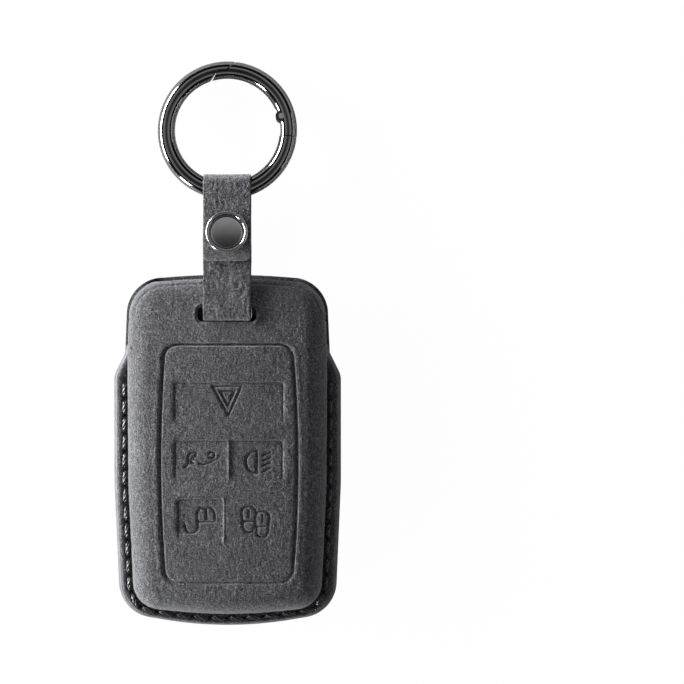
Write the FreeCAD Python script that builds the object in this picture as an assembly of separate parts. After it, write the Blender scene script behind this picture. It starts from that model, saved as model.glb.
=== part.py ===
import FreeCAD, Part
import math
import os
from FreeCAD import Matrix, Placement, Rotation, Vector

# A moulded suede cover for a car key fob, with a snap strap and a spring-gate ring.
# Millimetres. It lies on its back: +X to the right, +Y from the cover to the ring, +Z up out of
# the front. Y is measured from the cover's bottom edge while it is built, and the whole is moved
# at the end so that the origin is under the middle of its bounding box.

# ---- the fob that goes in, and the layers round it
POCKET_DEPTH = 14.2
SUEDE = 1.0
LINING = 0.8
LAMINATE = SUEDE + LINING
BACK_DEPTH = 7.9  # from the back's flat face to the parting plane
THICKNESS = POCKET_DEPTH + 2 * LAMINATE
FRONT_DEPTH = THICKNESS - BACK_DEPTH
PARTING = BACK_DEPTH

# ---- plan of the cover (half widths from the middle, heights from the bottom or top edge)
COVER_LENGTH = 101.1
TOP_HALF = 28.5
UPPER_HALF = 29.4
RIM_HALF = 32.6  # over the stitched rim
BOTTOM_HALF = 31.0
SHOULDER_IN = 22.5  # down from the top edge to where the rim starts
SHOULDER_OUT = 29.0
KNEE = 60.0  # down from the top edge to where the sides start to draw in
TOP_CROWN_RADIUS = 200.0
TOP_CROWN_ANGLE = 5.0
BOTTOM_CROWN_RADIUS = 110.0
BOTTOM_CROWN_ANGLE = 9.5
CORNER_RADIUS = 10.5
SHOULDER_RADIUS = 6.0
SIDE_RADIUS = 60.0
RIM_STEP = 0.9  # the back's rim stands this far outside the front's
BOTTOM_RIM_STEP = 0.4
RIM_LEAD_IN = 1.0  # the rim runs in under the wall by this much above the shoulder
RIM_LEAD_UP = 6.0
COATING_START = 1.0

# ---- the raised front and the raised back inside that plan
SIDE_RIM = 4.2
BOTTOM_RIM = 3.7
FRONT_TOP_STEP = 0.7
FRONT_SIDE_STEP = 0.8
BULGE_CROWN_ANGLE = 6.0
BULGE_CROWN_RADIUS = 150.0
BULGE_CORNER_RADIUS = 8.0
FRONT_EDGE_RADIUS = 6.2
BACK_EDGE_RADIUS = 3.8
FRONT_SLOPE = 10.0
FRONT_SLOPE_LENGTH = 19.9  # the front slopes down over this length, up to the top edge
BACK_SLOPE = 8.0
BACK_SLOPE_LENGTH = 25.8
SLOPE_BLEND_RADIUS = 60.0

# ---- embossing on the front
PANEL_TOP = 19.9  # down from the top edge
PANEL_LENGTH = 67.6
PANEL_WIDTH = 37.4
PANEL_RADIUS = 4.0
GROOVE_WIDTH = 1.0
EMBOSS_DEPTH = 0.35
PAD_WIDTH = 31.0
PAD_RADIUS = 1.0
PAD_HEIGHT = 11.6
PAD_PITCH = 16.8
FIRST_PAD = 30.2  # down from the top edge to the first pad's upper edge
PAD_COUNT = 3

# ---- mouth and strap slots
MOUTH_HALF = 24.0
MOUTH_FLAT_HALF = 19.0
MOUTH_ABOVE = 3.2
MOUTH_BELOW = 2.0
MOUTH_DEPTH = 5.0
MOUTH_CORNER = 0.6
SLOT_WIDTH = 16.8
SLOT_LENGTH = 4.3
SLOT_RADIUS = 1.5
SLOT_DOWN = 10.95  # from the top edge to the slot's middle
STRAP_IN_SLOT = 0.35  # from the slot's lower edge to the strap

# ---- seam
STITCH_PITCH = 5.0
STITCH_INSET = 2.85
THREAD = 0.9
STITCH_GROOVE = 1.6
STITCH_GROOVE_DEPTH = 0.35
STITCH_START = 30.3  # down from the top edge
THREAD_FIT = 0.05
THREAD_BEND = 0.6
THREAD_MEETING_GAP = 0.1
SLIT_ROUNDING = 0.45  # corner radius as a share of a stitch hole's width
EDGE_COATING = 0.3

# ---- strap
STRAP_WIDTH = 13.6
STRAP_SUEDE = 0.8
STRAP_LINING = 0.6
STRAP = STRAP_SUEDE + STRAP_LINING
STRAP_BEND = 1.3  # at the middle of its thickness
STRAP_SLOPE = 13.0
STRAP_TO_COVER = 0.15
LOOP_ABOVE_COVER = 24.9  # from the cover's top edge to the middle of the loop
FLAP_LENGTH = 21.6
STUD_FROM_FLAP_END = 7.7
STRAP_TAIL = 6.2  # beyond the stud, under the flap
FLAP_CORNER = 1.6
FLAP_JOINT_GAP = 0.02

# ---- snap, along its own axis from the front layer's inner face
SNAP_GAP = 2.0  # between the strap's front layer and the flap
CAP_RADIUS = 6.15
CAP_FACE_RADIUS = 4.55
CAP_HEIGHT = 1.7
CAP_LIP = 0.5
CAP_RECESS = 0.25
CAP_POST_RADIUS = 1.7
SOCKET_RADIUS = 5.0
SOCKET_BORE = 2.6
SOCKET_TOP = 0.45
STUD_FLANGE_RADIUS = 4.3
STUD_FLANGE = 0.4
STUD_HEAD_RADIUS = 2.25
STUD_NECK_RADIUS = 1.9
STUD_NECK_END = 0.4  # shares of the stud's height above its flange
STUD_HEAD_START = 0.6
SPRING_WIRE = 0.4
SPRING_SPLIT = 24.0
POST_RADIUS = 1.5
POST_FLANGE_RADIUS = 3.5
POST_FLANGE = 0.35
POST_BORE = 0.9
SNAP_FIT = 0.08
SNAP_SEAT = 0.1

# ---- spring-gate ring
WIRE = 5.0
RING_RADIUS = 17.5  # to the middle of the wire
RING_IN_LOOP = 0.05
TAIL_ANGLE = -5.6
PIN_X = 15.5
PIN_Y = 3.9
PIN_RADIUS = 0.5
PIN_FIT = 0.05
PIN_HEAD_RADIUS = 0.8
PIN_HEAD = 0.15
KNUCKLE_RADIUS = 1.65
KNUCKLE_HALF = 2.15
CHANNEL_HALF = 1.2
CHANNEL_END_ANGLE = 24.0
CHANNEL_WALL = 1.1
TONGUE_LOW = -1.1
TONGUE_HIGH = 0.0
TONGUE_CLEARANCE = 0.25
TAIL_GAP = 0.3
LAP_START_X = 2.6
LAP_START_SLOPE = 45.0
LAP_RADIUS = 17.1
LAP_END_ANGLE = 99.6
LAP_END_SLOPE = 60.0
LAP_GAPS = (0.35, 0.2, 0.6)

# ---- gate spring
COIL_WIRE = 0.26
COIL_RADIUS = 0.85
COIL_TURNS = 2
COIL_PITCH = 0.28
COIL_LEG = 2.4
COIL_SEAT = 0.06

BIG = 200.0

# ---- places worked out from the sizes above
COVER_TOP = COVER_LENGTH
SLOT_Y = COVER_TOP - SLOT_DOWN
WIRE_RADIUS = WIRE / 2
STRAP_HALF = STRAP_WIDTH / 2
RING_OUTER = RING_RADIUS + WIRE_RADIUS
RING_INNER = RING_RADIUS - WIRE_RADIUS
# the wire is curved, so it takes more room in the strap's straight loop than its own radius
RING_INNER_AT_STRAP_EDGE = math.sqrt(RING_INNER**2 - STRAP_HALF**2)
LOOP_TO_RING = (RING_OUTER + RING_INNER_AT_STRAP_EDGE) / 2  # from the loop's middle to the ring's
LOOP_RADIUS = (RING_OUTER - RING_INNER_AT_STRAP_EDGE) / 2 + RING_IN_LOOP
LOOP_MID_RADIUS = LOOP_RADIUS + STRAP / 2
LOOP_Y = COVER_TOP + LOOP_ABOVE_COVER


# ------------------------------------------------------------------ outlines
def rounded_path(points, radii, offset=0.0, closed=True):
    """Edges of a polyline with an arc at each corner that has a radius; offset moves it to its left."""
    count = len(points)
    corners = []
    for i, point in enumerate(points):
        if not closed and i in (0, count - 1):
            run = points[1] - points[0] if i == 0 else points[-1] - points[-2]
            run.normalize()
            end = point + Vector(-run.y, run.x, 0) * offset
            corners.append((end, None, end))
            continue
        before = (point - points[i - 1]).normalize()
        after = (points[(i + 1) % count] - point).normalize()
        left_in = Vector(-before.y, before.x, 0)
        left_out = Vector(-after.y, after.x, 0)
        if not radii[i]:
            sharp = point + (left_in + left_out) * (offset / (1 + before.dot(after)))
            corners.append((sharp, None, sharp))
            continue
        turn = math.atan2(before.x * after.y - before.y * after.x, before.dot(after))
        side = math.copysign(1.0, turn)
        reach = radii[i] * math.tan(abs(turn) / 2)
        start = point - before * reach
        end = point + after * reach
        centre = start + left_in * (side * radii[i])
        middle = centre + (point - centre).normalize() * (radii[i] - side * offset)
        corners.append((start + left_in * offset, middle, end + left_out * offset))
    edges = []
    for i, (start, middle, end) in enumerate(corners):
        if middle is not None:
            edges.append(Part.Arc(start, middle, end).toShape())
        if closed or i + 1 < count:
            following = corners[(i + 1) % count][0]
            if (following - end).Length > 1e-6:
                edges.append(Part.LineSegment(end, following).toShape())
    return edges


def rounded_face(points, radii, offset=0.0):
    return Part.Face(Part.Wire(rounded_path(points, radii, offset)))


def rounded_box_face(width, length, radius, middle_y=0.0):
    x = width / 2
    y = length / 2
    points = [Vector(-x, -y, 0), Vector(x, -y, 0), Vector(x, y, 0), Vector(-x, y, 0)]
    return rounded_face([p + Vector(0, middle_y, 0) for p in points], [radius] * 4)


def both_sides(right):
    """A closed outline, symmetrical about the Y axis, from (point, radius) pairs running upwards."""
    left = [(Vector(-p.x, p.y, 0), r) for p, r in reversed(right) if p.x > 0]
    pairs = right + left
    return [p for p, r in pairs], [r for p, r in pairs]


def crown(radius, angle):
    """How far a crowned edge's corner point stands outside the edge itself."""
    return radius * (1 / math.cos(math.radians(angle)) - 1)


def prism(face, low, high):
    solid = face.copy()
    solid.translate(Vector(0, 0, low))
    return solid.extrude(Vector(0, 0, high - low))


def rim_points(step, bottom_step, wall_half):
    """Right half of the stitched rim's outline, from the bottom up to inside the cover's wall."""
    bottom = -crown(BOTTOM_CROWN_RADIUS, BOTTOM_CROWN_ANGLE)
    corner = bottom + BOTTOM_HALF * math.tan(math.radians(BOTTOM_CROWN_ANGLE))
    half = RIM_HALF - step
    return [
        (Vector(0, bottom + bottom_step, 0), BOTTOM_CROWN_RADIUS),
        (Vector(BOTTOM_HALF - step, corner + bottom_step, 0), CORNER_RADIUS),
        (Vector(half, COVER_TOP - KNEE, 0), SIDE_RADIUS),
        (Vector(half, COVER_TOP - SHOULDER_OUT, 0), SHOULDER_RADIUS),
        (Vector(wall_half, COVER_TOP - SHOULDER_IN, 0), SHOULDER_RADIUS),
        (Vector(wall_half - RIM_LEAD_IN, COVER_TOP - SHOULDER_IN + RIM_LEAD_UP, 0), RIM_LEAD_IN),
    ]


def bulge_points(top_step, side_step):
    """Right half of a raised shell's outline."""
    bottom = BOTTOM_RIM - crown(BULGE_CROWN_RADIUS, BULGE_CROWN_ANGLE)
    bottom_half = BOTTOM_HALF - SIDE_RIM
    bottom_corner = bottom + bottom_half * math.tan(math.radians(BULGE_CROWN_ANGLE))
    top = COVER_TOP - top_step + crown(TOP_CROWN_RADIUS, TOP_CROWN_ANGLE)
    top_half = TOP_HALF - side_step
    top_corner = top - top_half * math.tan(math.radians(TOP_CROWN_ANGLE))
    return [
        (Vector(0, bottom, 0), BULGE_CROWN_RADIUS),
        (Vector(bottom_half, bottom_corner, 0), BULGE_CORNER_RADIUS),
        (Vector(RIM_HALF - SIDE_RIM, COVER_TOP - KNEE, 0), SIDE_RADIUS),
        (Vector(UPPER_HALF - side_step, COVER_TOP - SHOULDER_IN, 0), SIDE_RADIUS),
        (Vector(top_half, top_corner, 0), CORNER_RADIUS),
        (Vector(0, top, 0), TOP_CROWN_RADIUS),
    ]


# ------------------------------------------------------------------ shells
# A shell is built with its height measured from the parting plane outwards.
def bulge(points, radii, inset, depth, slope, slope_length, edge_radius):
    """The raised part of a shell, smaller all over by inset."""
    plan = prism(rounded_face(points, radii, inset), 0, depth)
    break_y = COVER_TOP - slope_length
    drop = (BIG - break_y) * math.tan(math.radians(slope))
    side = [
        Vector(-BIG, -BIG, 0),
        Vector(BIG, -BIG, 0),
        Vector(BIG, depth - drop, 0),
        Vector(break_y, depth, 0),
        Vector(-BIG, depth, 0),
    ]
    profile = rounded_face(side, [0, 0, 0, SLOPE_BLEND_RADIUS, 0], inset)
    block = plan.common(on_side(prism(profile, -BIG, BIG)))
    wall = Part.Wire(rounded_path(points, radii, inset))
    rim = []
    for edge in block.Edges:
        middle = edge.valueAt((edge.FirstParameter + edge.LastParameter) / 2)
        ends = edge.Vertexes[-1].Point - edge.Vertexes[0].Point
        upright = math.hypot(ends.x, ends.y) < 1e-4
        on_wall = wall.distToShape(Part.Vertex(Vector(middle.x, middle.y, 0)))[0] < 1e-3
        if middle.z > 1e-3 and on_wall and not upright:
            rim.append(edge)
    return block.makeFillet(edge_radius - inset, rim)


def on_side(shape):
    """Turns a shape drawn in X, Y and extruded along Z into one in Y, Z extruded along X."""
    turned = shape.copy()
    turned.transformShape(Matrix(0, 0, 1, 0, 1, 0, 0, 0, 0, 1, 0, 0, 0, 0, 0, 1))
    return turned


def shell_layers(raised, rim, depth, slope, slope_length, edge_radius):
    """The suede and the lining of one shell: raised part and stitched rim in one moulding."""
    whole = []
    for inset in (0.0, SUEDE):
        body = bulge(*both_sides(raised), inset, depth, slope, slope_length, edge_radius)
        plate = prism(rounded_face(*both_sides(rim)), 0, LAMINATE - inset)
        whole.append(body.fuse(plate))
    hollow = bulge(*both_sides(raised), LAMINATE, depth, slope, slope_length, edge_radius)
    return whole[0].cut(whole[1]), whole[1].cut(hollow)


def seam_path(inset):
    """The stitching line, from the left shoulder round the bottom to the right shoulder."""
    right = rim_points(0.0, 0.0, UPPER_HALF)[:3]
    right.append((Vector(RIM_HALF, COVER_TOP - STITCH_START, 0), 0.0))
    left = [(Vector(-p.x, p.y, 0), r) for p, r in reversed(right[1:])]
    pairs = left + right
    return rounded_path([p for p, r in pairs], [r for p, r in pairs], inset, closed=False)


def band(inner, outer):
    """The face between two open paths."""
    close_start = Part.LineSegment(outer[0].Vertexes[0].Point, inner[0].Vertexes[0].Point).toShape()
    close_end = Part.LineSegment(inner[-1].Vertexes[-1].Point, outer[-1].Vertexes[-1].Point).toShape()
    return Part.Face(Part.Wire(Part.__sortEdges__(inner + [close_end] + outer + [close_start])))


def stitch_points():
    wire = Part.Wire(seam_path(STITCH_INSET))
    return wire.discretize(Number=round(wire.Length / STITCH_PITCH) + 1)


def along_seam(points, i):
    """The seam's direction at a stitch point."""
    return (points[min(i + 1, len(points) - 1)] - points[max(i - 1, 0)]).normalize()


def plan_angle(run):
    return math.degrees(math.atan2(run.y, run.x))


def stitch_holes(points):
    """A slit through the rim at every stitch point."""
    reach = 2 * (THREAD / 2 + THREAD_BEND + 2 * THREAD_FIT)
    width = THREAD + 2 * THREAD_FIT
    holes = []
    for i, point in enumerate(points):
        slit = prism(rounded_box_face(reach, width, width * SLIT_ROUNDING), -LAMINATE, 2 * LAMINATE)
        slit.Placement = Placement(point, Rotation(Vector(0, 0, 1), plan_angle(along_seam(points, i))))
        holes.append(slit)
    return Part.makeCompound(holes)


def stitches(points):
    """One staple of thread from each stitch point to the next, down into both holes."""
    shift = THREAD / 2 + THREAD_FIT
    rise = LAMINATE - STITCH_GROOVE_DEPTH + THREAD / 2
    result = []
    for i in range(len(points) - 1):
        start = points[i] + along_seam(points, i) * shift
        run = points[i + 1] - along_seam(points, i + 1) * shift - start
        corners = [
            Vector(0, THREAD_MEETING_GAP / 2, 0),
            Vector(0, rise, 0),
            Vector(run.Length, rise, 0),
            Vector(run.Length, THREAD_MEETING_GAP / 2, 0),
        ]
        path = Part.Wire(rounded_path(corners, [0, THREAD_BEND, THREAD_BEND, 0], closed=False))
        section = Part.Wire(Part.makeCircle(THREAD / 2, corners[0], Vector(0, 1, 0)))
        staple = path.makePipeShell([section], True, False)
        staple.rotate(Vector(0, 0, 0), Vector(1, 0, 0), 90)
        staple.rotate(Vector(0, 0, 0), Vector(0, 0, 1), plan_angle(run))
        staple.translate(start)
        result.append(staple)
    return Part.makeCompound(result)


def panel_embossing():
    """Cutters for the button field's groove and its recessed pads."""
    top = FRONT_DEPTH
    middle_y = COVER_TOP - PANEL_TOP - PANEL_LENGTH / 2
    outer = rounded_box_face(PANEL_WIDTH, PANEL_LENGTH, PANEL_RADIUS, middle_y)
    inner = rounded_box_face(
        PANEL_WIDTH - 2 * GROOVE_WIDTH, PANEL_LENGTH - 2 * GROOVE_WIDTH, PANEL_RADIUS - GROOVE_WIDTH, middle_y
    )
    cutters = [prism(outer.cut(inner), top - EMBOSS_DEPTH, top + SUEDE)]
    for row in range(PAD_COUNT):
        pad_y = COVER_TOP - FIRST_PAD - PAD_HEIGHT / 2 - row * PAD_PITCH
        pad = rounded_box_face(PAD_WIDTH, PAD_HEIGHT, PAD_RADIUS, pad_y)
        cutters.append(prism(pad, top - EMBOSS_DEPTH, top + SUEDE))
    return Part.makeCompound(cutters)


def mouth(height):
    """Half of the opening at the top that the fob goes in by."""
    points = [
        Vector(-MOUTH_HALF, -height, 0),
        Vector(MOUTH_HALF, -height, 0),
        Vector(MOUTH_HALF, 0, 0),
        Vector(MOUTH_FLAT_HALF, height, 0),
        Vector(-MOUTH_FLAT_HALF, height, 0),
        Vector(-MOUTH_HALF, 0, 0),
    ]
    face = rounded_face(points, [MOUTH_CORNER] * len(points))
    cutter = face.extrude(Vector(0, 0, BIG))
    cutter.rotate(Vector(0, 0, 0), Vector(1, 0, 0), 90)
    cutter.translate(Vector(0, COVER_TOP - MOUTH_DEPTH + BIG, 0))
    return cutter


def strap_slot():
    return prism(rounded_box_face(SLOT_WIDTH, SLOT_LENGTH, SLOT_RADIUS, SLOT_Y), -THICKNESS, 2 * THICKNESS)


def to_front(shape):
    moved = shape.copy()
    moved.translate(Vector(0, 0, PARTING))
    return moved


def to_back(shape):
    return shape.mirror(Vector(0, 0, 0), Vector(0, 0, 1)).translated(Vector(0, 0, PARTING))


def build_shells(nodes):
    front_raised = bulge_points(FRONT_TOP_STEP, FRONT_SIDE_STEP)
    back_raised = bulge_points(0.0, 0.0)
    front_rim = rim_points(RIM_STEP, BOTTOM_RIM_STEP, UPPER_HALF - FRONT_SIDE_STEP)
    back_rim = rim_points(EDGE_COATING, EDGE_COATING, UPPER_HALF - EDGE_COATING)
    front = shell_layers(
        front_raised, front_rim, FRONT_DEPTH, FRONT_SLOPE, FRONT_SLOPE_LENGTH, FRONT_EDGE_RADIUS
    )
    back = shell_layers(back_raised, back_rim, BACK_DEPTH, BACK_SLOPE, BACK_SLOPE_LENGTH, BACK_EDGE_RADIUS)
    points = stitch_points()
    through = [strap_slot(), stitch_holes(points)]
    half_groove = STITCH_GROOVE / 2
    groove_face = band(seam_path(STITCH_INSET - half_groove), seam_path(STITCH_INSET + half_groove))
    groove = prism(groove_face, LAMINATE - STITCH_GROOVE_DEPTH, 2 * LAMINATE)
    front_cuts = through + [mouth(MOUTH_ABOVE)]
    back_cuts = through + [mouth(MOUTH_BELOW)]
    nodes["front_shell"] = to_front(front[0].cut(front_cuts + [groove, panel_embossing()]))
    nodes["front_lining"] = to_front(front[1].cut(front_cuts))
    nodes["back_shell"] = to_back(back[0].cut(back_cuts + [groove]))
    nodes["back_lining"] = to_back(back[1].cut(back_cuts))
    wall = bulge(*both_sides(back_raised), 0.0, BACK_DEPTH, BACK_SLOPE, BACK_SLOPE_LENGTH, BACK_EDGE_RADIUS)
    coat_out = prism(rounded_face(*both_sides(rim_points(0.0, 0.0, UPPER_HALF))), 0, LAMINATE)
    coat_in = prism(rounded_face(*both_sides(back_rim)), -LAMINATE, 2 * LAMINATE)
    above = Part.makeBox(BIG, BIG, BIG, Vector(-BIG / 2, COVER_TOP - SHOULDER_IN - COATING_START, -BIG / 2))
    nodes["edge_coating"] = to_back(coat_out.cut([coat_in, wall, above]))
    thread = stitches(points)
    nodes["front_stitches"] = to_front(thread)
    nodes["back_stitches"] = to_back(thread)


# ------------------------------------------------------------------ strap
def slope_vectors(degrees):
    """Directions along and square to the strap's front layers, in (Y, Z)."""
    angle = math.radians(degrees)
    along = Vector(math.cos(angle), -math.sin(angle), 0)
    up = Vector(math.sin(angle), math.cos(angle), 0)
    return along, up


def meet(point_a, run_a, point_b, run_b):
    across = run_a.x * run_b.y - run_a.y * run_b.x
    gap = point_b - point_a
    return point_a + run_a * ((gap.x * run_b.y - gap.y * run_b.x) / across)


def strap_route():
    """Where the strap runs in the Y, Z plane: a dictionary of points."""
    along, up = slope_vectors(STRAP_SLOPE)
    slope = math.radians(FRONT_SLOPE)
    edge_y = COVER_TOP - FRONT_TOP_STEP - FRONT_EDGE_RADIUS
    surface = THICKNESS - (edge_y - (COVER_TOP - FRONT_SLOPE_LENGTH)) * math.tan(slope)
    edge_centre = Vector(edge_y, surface - FRONT_EDGE_RADIUS / math.cos(slope), 0)
    on_front = edge_centre + up * (FRONT_EDGE_RADIUS + STRAP_TO_COVER + STRAP / 2)
    on_flap = on_front + up * (STRAP + SNAP_GAP)
    reach = (LOOP_Y + LOOP_MID_RADIUS * up.x - on_flap.x) / along.x
    flap_root = on_flap + along * reach
    loop = flap_root - up * LOOP_MID_RADIUS
    slot_edge = SLOT_Y + SLOT_LENGTH / 2
    back_slope = math.radians(BACK_SLOPE)
    back_z = (slot_edge - (COVER_TOP - BACK_SLOPE_LENGTH)) * math.tan(back_slope)
    on_back = Vector(slot_edge, back_z - (STRAP_TO_COVER + STRAP / 2) / math.cos(back_slope), 0)
    to_loop = loop - on_back
    rear_angle = math.atan2(to_loop.y, to_loop.x) - math.asin(LOOP_MID_RADIUS / to_loop.Length)
    rear = Vector(math.cos(rear_angle), math.sin(rear_angle), 0)
    through_y = SLOT_Y - SLOT_LENGTH / 2 + STRAP_IN_SLOT + STRAP / 2
    down = Vector(0, -1, 0)
    through = Vector(through_y, 0, 0)
    snap = flap_root - along * (FLAP_LENGTH - STUD_FROM_FLAP_END)
    snap_seat = snap - up * (STRAP / 2 + SNAP_GAP + STRAP)
    return {
        "tail": snap_seat + up * (STRAP / 2) + along * STRAP_TAIL,
        "front_bend": meet(through, down, on_front, along),
        "back_bend": meet(through, down, on_back, rear),
        "loop_corner": meet(on_back, rear, flap_root, along),
        "flap_root": flap_root,
        "loop": loop,
        "snap_seat": snap_seat,
    }


def snap_place(route):
    """From snap coordinates (X across, Y towards the ring, Z outwards) to the model's."""
    seat = route["snap_seat"]
    return Placement(Vector(0, seat.x, seat.y), Rotation(Vector(1, 0, 0), -STRAP_SLOPE))


def placed(shape, place):
    moved = shape.copy()
    moved.transformShape(place.toMatrix())
    return moved


def build_strap(nodes, route):
    names = ("tail", "front_bend", "back_bend", "loop_corner", "flap_root")
    points = [route[name] for name in names]
    radii = [0.0, STRAP_BEND, STRAP_BEND, LOOP_MID_RADIUS, 0.0]
    glue = -STRAP / 2 + STRAP_SUEDE
    place = snap_place(route)
    base_hole = Part.makeCylinder(POST_RADIUS + SNAP_FIT, 3 * STRAP, Vector(0, 0, -STRAP))
    base_hole = placed(base_hole, place)
    for name, outer, inner in (("strap_suede", -STRAP / 2, glue), ("strap_lining", glue, STRAP / 2)):
        face = band(
            rounded_path(points, radii, outer, closed=False), rounded_path(points, radii, inner, closed=False)
        )
        layer = on_side(prism(face, -STRAP_HALF, STRAP_HALF))
        nodes[name] = layer.cut(base_hole)
    low = STRAP + SNAP_GAP
    end = -STUD_FROM_FLAP_END
    root = FLAP_LENGTH - STUD_FROM_FLAP_END - FLAP_JOINT_GAP
    corners = [
        Vector(-STRAP_HALF, end, 0),
        Vector(STRAP_HALF, end, 0),
        Vector(STRAP_HALF, root, 0),
        Vector(-STRAP_HALF, root, 0),
    ]
    plan = rounded_face(corners, [FLAP_CORNER, FLAP_CORNER, 0, 0])
    plan = plan.cut(Part.Face(Part.Wire(Part.makeCircle(CAP_POST_RADIUS + SNAP_FIT))))
    nodes["flap_lining"] = placed(prism(plan, low, low + STRAP_LINING), place)
    nodes["flap_suede"] = placed(prism(plan, low + STRAP_LINING, low + STRAP), place)


# ------------------------------------------------------------------ snap
def turned(profile):
    """A solid of revolution about Z from (radius, height) corners."""
    points = [Vector(radius, 0, height) for radius, height in profile]
    face = Part.Face(Part.makePolygon(points + [points[0]]))
    return face.revolve(Vector(0, 0, 0), Vector(0, 0, 1), 360)


def build_snap(nodes, route):
    place = snap_place(route)
    front = STRAP  # outer face of the strap's front layer
    flap = STRAP + SNAP_GAP
    flange = front + STUD_FLANGE
    plate = flap - SOCKET_TOP
    bore = POST_RADIUS + SNAP_FIT
    head_top = plate - SNAP_SEAT
    neck_top = flange + (head_top - flange) * STUD_NECK_END
    head_low = flange + (head_top - flange) * STUD_HEAD_START
    post = turned([
        (POST_BORE, -POST_FLANGE),
        (POST_FLANGE_RADIUS, -POST_FLANGE),
        (POST_FLANGE_RADIUS, 0),
        (POST_RADIUS, 0),
        (POST_RADIUS, neck_top),
        (POST_BORE, neck_top),
    ])
    stud = turned([
        (bore, front),
        (STUD_FLANGE_RADIUS, front),
        (STUD_FLANGE_RADIUS, flange),
        (STUD_NECK_RADIUS, flange),
        (STUD_NECK_RADIUS, neck_top),
        (STUD_HEAD_RADIUS, head_low),
        (STUD_HEAD_RADIUS, (head_low + head_top) / 2),
        (STUD_NECK_RADIUS, head_top),
        (0, head_top),
        (0, head_low),
        (bore, head_low),
    ])
    socket_hole = CAP_POST_RADIUS + SNAP_FIT / 2
    wall_out = (SOCKET_RADIUS + SOCKET_BORE) / 2
    socket = turned([
        (SOCKET_BORE, flange + SNAP_SEAT),
        (wall_out, flange + SNAP_SEAT),
        (wall_out, plate),
        (SOCKET_RADIUS, plate),
        (SOCKET_RADIUS, flap),
        (socket_hole, flap),
        (socket_hole, plate),
        (SOCKET_BORE, plate),
    ])
    spring_radius = STUD_NECK_RADIUS + SPRING_WIRE
    spring = Part.makeTorus(
        spring_radius, SPRING_WIRE / 2, Vector(0, 0, 0), Vector(0, 0, 1), 0, 360, 360 - SPRING_SPLIT
    )
    spring.translate(Vector(0, 0, flange + SNAP_SEAT + SPRING_WIRE / 2))
    top = flap + STRAP
    face = top + CAP_HEIGHT
    cap = turned([
        (CAP_POST_RADIUS, plate),
        (CAP_POST_RADIUS, top),
        (CAP_RADIUS, top),
        (CAP_RADIUS, top + CAP_LIP),
        (CAP_FACE_RADIUS + CAP_RECESS, face),
        (CAP_FACE_RADIUS, face),
        (CAP_FACE_RADIUS, face - CAP_RECESS),
        (0, face - CAP_RECESS),
        (0, plate),
    ])
    nodes["snap_post"] = placed(post, place)
    nodes["snap_stud"] = placed(stud, place)
    nodes["snap_socket"] = placed(socket, place)
    nodes["snap_socket_spring"] = placed(spring, place)
    nodes["snap_cap"] = placed(cap, place)


# ------------------------------------------------------------------ ring
def shift_chain(points, gaps):
    """A polyline moved to its right, each of its runs by its own gap."""
    runs = [(b - a).normalize() for a, b in zip(points, points[1:])]
    starts = [a + Vector(r.y, -r.x, 0) * g for a, r, g in zip(points, runs, gaps)]
    moved = [starts[0]]
    for i in range(1, len(runs)):
        moved.append(meet(starts[i - 1], runs[i - 1], starts[i], runs[i]))
    moved.append(starts[-1] + runs[-1] * (points[-1] - points[-2]).Length)
    return moved


def polar(radius, degrees):
    angle = math.radians(degrees)
    return Vector(radius * math.cos(angle), radius * math.sin(angle), 0)


def polygon_prism(points, low, high):
    return prism(Part.Face(Part.makePolygon(points + [points[0]])), low, high)


def sector(inner, outer, start, end, low, high):
    """A slice of a flat washer round the ring's middle."""
    bore = Part.makeCylinder(inner, high - low, Vector(0, 0, low))
    washer = Part.makeCylinder(outer, high - low, Vector(0, 0, low)).cut(bore)
    middle = (start + end) / 2
    far = 2 * outer
    wedge = [Vector(0, 0, 0), polar(far, start), polar(far, middle), polar(far, end)]
    return washer.common(polygon_prism(wedge, low, high))


def lap_chain():
    """The cut between the gate's end and the body's nose, from outside the ring to inside it."""
    slope = math.radians(LAP_START_SLOPE)
    start = Vector(LAP_START_X, math.sqrt(RING_OUTER**2 - LAP_START_X**2), 0)
    down = Vector(-math.cos(slope), -math.sin(slope), 0)
    shelf = start + down * ((start.y - LAP_RADIUS) / -down.y)
    turn = polar(LAP_RADIUS, LAP_END_ANGLE)
    slope = math.radians(LAP_END_SLOPE)
    leave = turn + Vector(-math.cos(slope), -math.sin(slope), 0) * WIRE
    return [start - down * WIRE_RADIUS, shelf, turn, leave]


def coil_spring():
    """The torsion spring round the gate's pin, with a leg to the body and a leg to the gate."""
    base = TONGUE_HIGH + COIL_SEAT + COIL_WIRE / 2
    climb = COIL_PITCH / (2 * math.pi * COIL_RADIUS)
    leg_rise = COIL_LEG * climb

    def at(turns):
        angle = 360.0 * turns
        height = base + leg_rise + COIL_PITCH * turns
        return Vector(PIN_X, PIN_Y, height) + polar(COIL_RADIUS, angle)

    leg = Vector(0, COIL_LEG, leg_rise)
    quarters = 4 * COIL_TURNS
    edges = [Part.LineSegment(at(0) - leg, at(0)).toShape()]
    for i in range(quarters):
        edges.append(Part.Arc(at(i / 4), at((i + 0.5) / 4), at((i + 1) / 4)).toShape())
    edges.append(Part.LineSegment(at(COIL_TURNS), at(COIL_TURNS) + leg).toShape())
    section = Part.Wire(Part.makeCircle(COIL_WIRE / 2, at(0) - leg, leg))
    return Part.Wire(edges).makePipeShell([section], True, False)


def ring_place(route):
    """The ring leans from the strap's loop down to the surface that the cover lies on."""
    loop = route["loop"]
    spread = LOOP_TO_RING + RING_RADIUS
    lean = math.asin((loop.y - WIRE_RADIUS) / spread)
    centre = Vector(0, loop.x + LOOP_TO_RING * math.cos(lean), loop.y - LOOP_TO_RING * math.sin(lean))
    far_edge = loop.x + spread * math.cos(lean) + WIRE_RADIUS
    return Placement(centre, Rotation(Vector(1, 0, 0), -math.degrees(lean))), far_edge


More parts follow.
